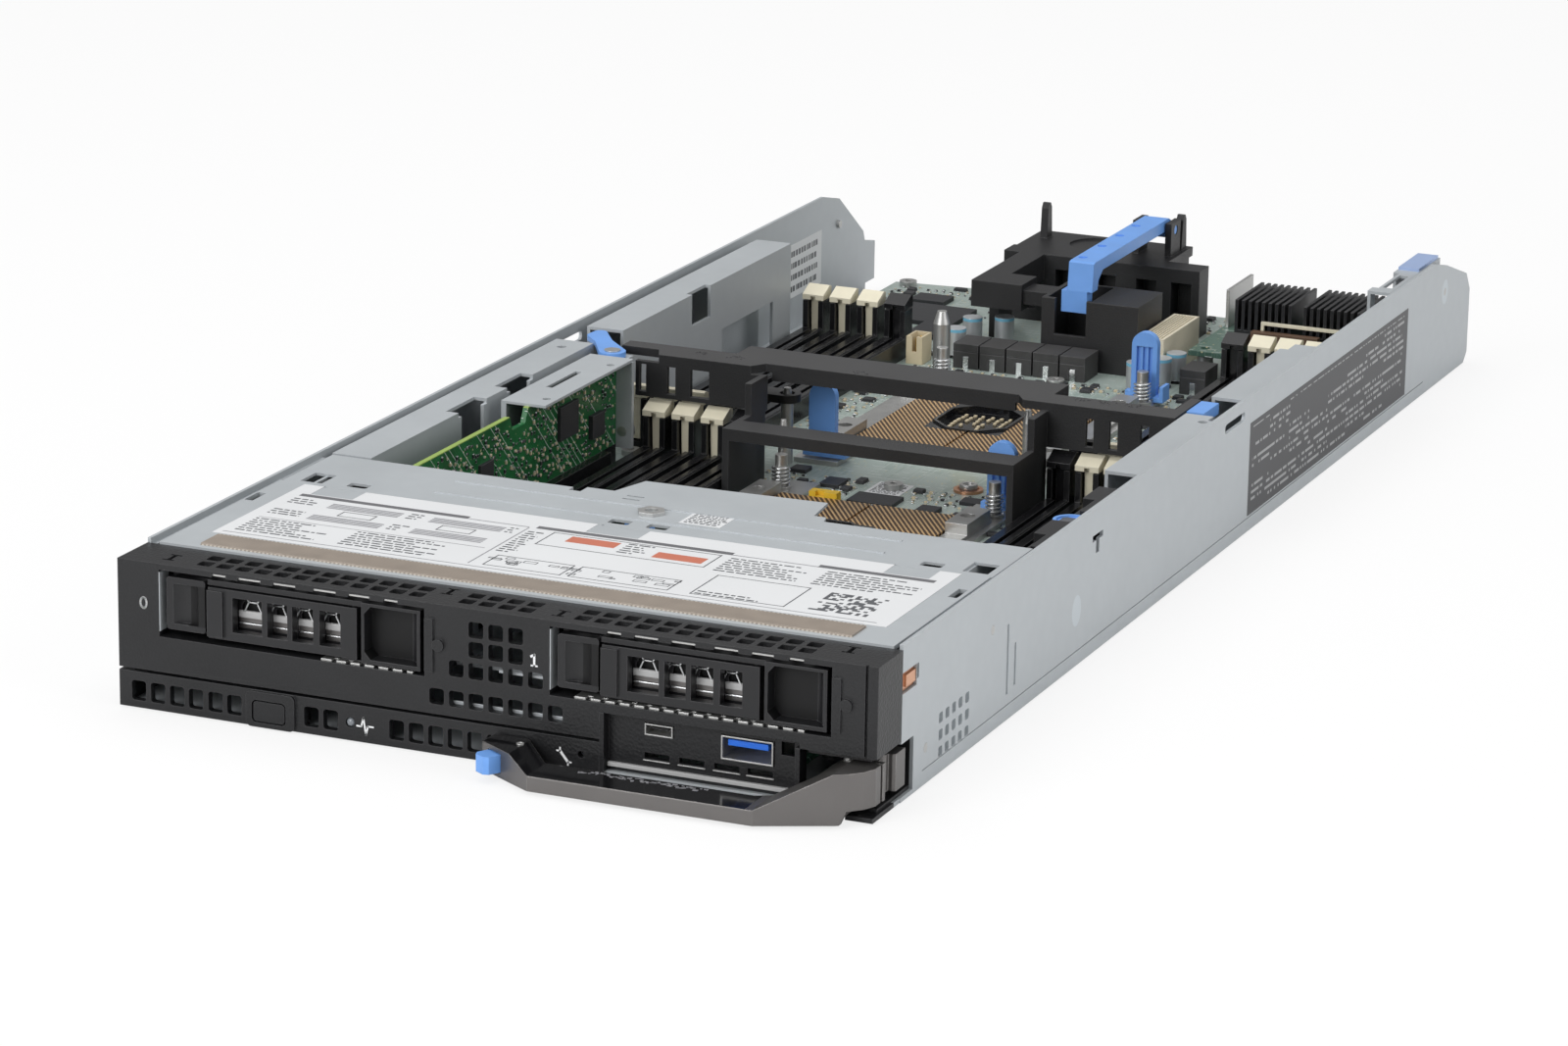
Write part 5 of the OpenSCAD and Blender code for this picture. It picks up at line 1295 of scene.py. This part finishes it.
def leaded_chip(name: str, places: list[Matrix], body: str) -> None:
    """Adds small black chips with a row of bright leads on two sides."""
    chip = Workpiece.block(name, (-1.6, -1.4, 0.15), (1.6, 1.4, 1.1))
    chip.choose(lambda c, n: n.z > 0.9).grow(0.9, 0.9, 1).close()
    chip.copies(places).hand_over(body, EPOXY)
    lead = Workpiece.block(f"{name}_leads", (-0.15, -0.5, 0), (0.15, 0, 0.15))
    lead.choose(lambda c, n: n.y > 0.9).push(0, 0.2, 0.3).close()
    steps = [Matrix.Translation(Vector((x, -1.35, 0)) * MM) for x in (-1.2, -0.4, 0.4, 1.2)]
    turned = Matrix.Rotation(math.pi, 4, "Z")
    rows = [p @ t @ s for p in places for s in steps for t in (Matrix.Identity(4), turned)]
    lead.copies(rows).hand_over(body, TIN)


EDGE_GREEN = Finish("card_edge_finish", (0.3, 0.42, 0.1), 0.0, 0.5, 0.06, 6, Grain.FINE, 0.3, 0.01)
TEAL = Finish("teal_part_finish", (0.05, 0.36, 0.42), 0.0, 0.4, 0.06, 3, Grain.FINE, 0.2, 0.006)


@dataclass
class ControllerCard(Assembly):
    """The upright green card with its chips and small parts."""

    counts: int = 420
    seed: int = 9
    span_y: tuple[float, float] = (114.0, 239.0)
    span_z: tuple[float, float] = (15.5, 37.5)
    keep_out: tuple[Rect, ...] = ((200, 214, 23.5, 35.5), (149, 159, 21, 31), (221, 231, 19, 28),
                                  (170, 183, 33, 40))

    def dress(self) -> None:
        """Gives the card its green and its chips their black."""
        dress("controller_card", self.board, [
            zone((-76.85, -70), ANY, (14.5, 40), EPOXY), zone((-90, -78.55), ANY, (14.5, 40), EPOXY),
            zone((-82, -74), ANY, (5, 14.1), SOCKET_BLACK), zone((-80, -76), ANY, (38.95, 39.3), EDGE_GREEN)])

    def board(self, brush: Brush) -> Layer:
        """Returns the card's finish."""
        return board_layer(brush, (0.012, 0.095, 0.03), (0.02, 0.16, 0.05))

    def build(self) -> None:
        """Adds the small parts on the side that shows."""
        rng = random.Random(self.seed)
        face = -76.9
        upright = Matrix.Rotation(math.pi / 2, 4, "Y")
        places: list[Matrix] = []
        taken: list[tuple[float, float]] = []
        for _ in range(self.counts * 6):
            if len(places) >= self.counts:
                break
            y, z = rng.uniform(*self.span_y), rng.uniform(*self.span_z)
            if any(k[0] < y < k[1] and k[2] < z < k[3] for k in self.keep_out):
                continue
            if any(abs(y - a) < 1.3 and abs(z - b) < 1.3 for a, b in taken):
                continue
            taken.append((y, z))
            size = rng.choice((0.6, 0.75, 0.95))
            spin = Matrix.Rotation(rng.choice((0, math.pi / 2)), 4, "Z")
            move = Matrix.Translation(Vector((face, back(y), z)) * MM)
            places.append(move @ upright @ spin @ Matrix.Diagonal((size, size, size, 1)))
        chip_resistor("card_small_parts", places[::2], CREAM, "chassis")
        chip_resistor("card_dark_parts", places[1::2], EPOXY, "chassis")
        solder_ends("card_solder_ends", places, "chassis")


# Painted light: a paler black for the air guide's upward faces, standing for the light that falls on them from above.
AIR_LIT_TOP = Finish("air_guide_lit_top_finish", (0.05, 0.05, 0.051), 0.0, 0.46, 0.12, 20, Grain.PEBBLED, 0.4, 0.03)
AIR_BLACK = Finish("air_guide_finish", (0.02, 0.02, 0.021), 0.0, 0.46, 0.12, 20, Grain.PEBBLED, 0.5, 0.03,
                   (0.12, 0.12, 0.125), 0.6, 0.0, 0.4)


@dataclass
class UpperParts(Assembly):
    """The air guide over the board, its latches and the rear module."""

    marks_at: tuple[tuple[float, float], ...] = ((-58.0, 257.5), (-46.0, 257.5), (-6.0, 257.5), (62.0, 257.5),
                                                 (70.0, 257.5), (78.0, 257.5))
    teal_at: tuple[float, float, float] = (82.0, 417.0, 16.6)

    def dress(self) -> None:
        """Gives them their finishes."""
        dress("air_guide", self.guide)
        dress("mezz_frame", AIR_BLACK)
        for node in ("mezz_handle", "card_latch", "guide_latch"):
            dress(node, BLUE)
        dress("network_card", self.board, [
            zone((24, 34), (410, 446), (5, 20), ARRAY_TAN), zone((56.5, 79.5), (425.5, 429.5), (16.7, 22), BROWN),
            zone((41.5, 43.2), (445, 471), (16.7, 30), STEEL), zone((41, 93), ANY, (5, 14.95), STEEL)])
        dress("card_heatsinks", COOLER, [zone((59, 88.2), (429.3, 430.95), ANY, IVORY)])

    def guide(self, brush: Brush) -> Layer:
        """Returns the air guide's black, with painted light: paler on its upward faces, as lit from above."""
        return brush.over(brush.lying(0.25), AIR_BLACK.layer(brush), AIR_LIT_TOP.layer(brush))

    def build(self) -> None:
        """Adds the small raised marks on the air guide's top, which stand for nothing."""
        rng = random.Random(17)
        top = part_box("air_guide")[1][2] / MM
        mark = Workpiece.block("air_guide_marks", (-0.5, -0.5, 0), (0.5, 0.5, 0.12))
        mark.choose(lambda c, n: n.z > 0.9).grow(0.8, 0.8, 1).close()
        places = [at(x + rng.uniform(-2.6, 2.6), back(y + rng.uniform(-1.3, 1.3)), top - 0.02, rng.choice((0, 90, 35)),
                     (rng.uniform(0.5, 1.6), 0.35, 1)) for x, y in self.marks_at for _ in range(9)]
        mark.copies(places).hand_over("chassis", SOCKET_BLACK)
        x, y, z = self.teal_at
        part = Workpiece.drum("rear_card_round_part", (x, back(y), z), 1.5, 1.8, 24)
        part.choose(lambda c, n: n.z > 0.9).inset(0.4).push(0, 0, -0.3).close()
        part.soften(0.15).smooth().hand_over("chassis", TEAL)

    def board(self, brush: Brush) -> Layer:
        """Returns the rear card's finish."""
        return board_layer(brush, (0.06, 0.12, 0.09), (0.1, 0.18, 0.14))


ARRAY_TAN = Finish("array_tan_finish", (0.7, 0.64, 0.5), 0.0, 0.5, 0.06, 6, Grain.FINE, 0.3, 0.01)


# ------------------------------------------------------------------ studio

@dataclass(frozen=True)
class Lamp:
    """One soft lamp: its place, what it faces, its size in metres and its power."""

    name: str
    place: Point
    size: float
    power: float


@dataclass
class Studio:
    """Floor, light and camera."""

    place: Point = (0.5774, -1.41335, 0.4408)
    yaw: float = 23.067
    pitch: float = 16.171
    roll: float = 0.908
    lens: float = 125.57
    sensor: float = 36.0
    lamps: tuple[Lamp, ...] = (Lamp("overhead_lamp", (-0.2, 0.1, 1.9), 2.6, 24.5),
                               Lamp("front_lamp", (-0.5, -1.8, 0.9), 1.3, 21.5),
                               Lamp("right_lamp", (1.9, -0.3, 0.9), 1.6, 12.5))
    world_level: float = 0.33
    floor_colour: Colour = (0.9, 0.9, 0.9)

    def camera(self) -> None:
        """Sets the camera at the viewing angle."""
        data = bpy.data.cameras.new("sled_camera")
        data.lens = self.lens
        data.sensor_width = self.sensor
        data.clip_start = 0.05
        camera = bpy.data.objects.new("sled_camera", data)
        bpy.context.collection.objects.link(camera)
        yaw, pitch, roll = (math.radians(v) for v in (self.yaw, self.pitch, self.roll))
        forward = Vector((-math.sin(yaw) * math.cos(pitch), math.cos(yaw) * math.cos(pitch), -math.sin(pitch)))
        right = Vector((math.cos(yaw), math.sin(yaw), 0.0))
        up = right.cross(forward)
        turned_right = right * math.cos(roll) + up * math.sin(roll)
        turned_up = up * math.cos(roll) - right * math.sin(roll)
        turn = Matrix((turned_right, turned_up, -forward)).transposed()
        camera.matrix_world = Matrix.Translation(Vector(self.place)) @ turn.to_4x4()
        bpy.context.scene.camera = camera

    def lights(self) -> None:
        """Adds the soft lamps and the even surroundings."""
        for lamp in self.lamps:
            data = bpy.data.lights.new(lamp.name, "AREA")
            data.shape = "DISK"
            data.size = lamp.size
            data.energy = lamp.power
            light = bpy.data.objects.new(lamp.name, data)
            bpy.context.collection.objects.link(light)
            light.location = lamp.place
            light.rotation_euler = (-Vector(lamp.place)).to_track_quat("-Z", "Y").to_euler()
        world = bpy.data.worlds.new("studio_world")
        world.use_nodes = True
        tree = world.node_tree
        tree.nodes.clear()
        path = tree.nodes.new("ShaderNodeLightPath")
        seen = tree.nodes.new("ShaderNodeMath")
        seen.operation = "MAXIMUM"
        tree.links.new(path.outputs["Is Camera Ray"], seen.inputs[0])
        tree.links.new(path.outputs["Is Transmission Ray"], seen.inputs[1])
        soft = tree.nodes.new("ShaderNodeBackground")
        soft.inputs["Strength"].default_value = self.world_level
        white = tree.nodes.new("ShaderNodeBackground")
        white.inputs["Color"].default_value = (1, 1, 1, 1)
        mix = tree.nodes.new("ShaderNodeMixShader")
        out = tree.nodes.new("ShaderNodeOutputWorld")
        soft.inputs["Color"].default_value = (1, 1, 1, 1)
        tree.links.new(seen.outputs[0], mix.inputs[0])
        tree.links.new(soft.outputs[0], mix.inputs[1])
        tree.links.new(white.outputs[0], mix.inputs[2])
        tree.links.new(mix.outputs[0], out.inputs[0])
        bpy.context.scene.world = world

    def floor(self) -> None:
        """Lays the pale floor, which looks white where nothing shades it."""
        clear_selection()
        bpy.ops.mesh.primitive_plane_add(size=30, location=(0, 0, cad_low[2] - 0.0005))
        floor = bpy.context.object
        floor.name = "studio_floor"
        material = bpy.data.materials.new("floor_finish")
        material.use_nodes = True
        tree = material.node_tree
        tree.nodes.clear()
        diffuse = tree.nodes.new("ShaderNodeBsdfDiffuse")
        diffuse.inputs["Color"].default_value = (*self.floor_colour, 1)
        glow = tree.nodes.new("ShaderNodeEmission")
        path = tree.nodes.new("ShaderNodeLightPath")
        share = tree.nodes.new("ShaderNodeMath")
        share.operation = "MULTIPLY"
        share.inputs[1].default_value = 0.8
        mix = tree.nodes.new("ShaderNodeMixShader")
        out = tree.nodes.new("ShaderNodeOutputMaterial")
        tree.links.new(path.outputs["Is Camera Ray"], share.inputs[0])
        tree.links.new(share.outputs[0], mix.inputs[0])
        tree.links.new(diffuse.outputs[0], mix.inputs[1])
        tree.links.new(glow.outputs[0], mix.inputs[2])
        tree.links.new(mix.outputs[0], out.inputs[0])
        floor.data.materials.append(material)
        floor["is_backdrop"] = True

    def set_up(self) -> None:
        """Builds the whole studio."""
        self.camera()
        self.lights()
        self.floor()
        bpy.context.scene.view_settings.view_transform = "Standard"


def main() -> None:
    """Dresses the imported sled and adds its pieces."""
    logging.basicConfig(level=logging.INFO, format="%(message)s")
    Studio().set_up()
    parts: tuple[Assembly, ...] = (Chassis(), CoverLabel(), SmallLabels(), FrontFace(), Handle(), Drives(), Memory(),
                                   Processors(), Board(), ControllerCard(), UpperParts())
    for part in parts:
        part.dress()
        part.build()
    clear_selection()


if __name__ == "__main__":
    main()
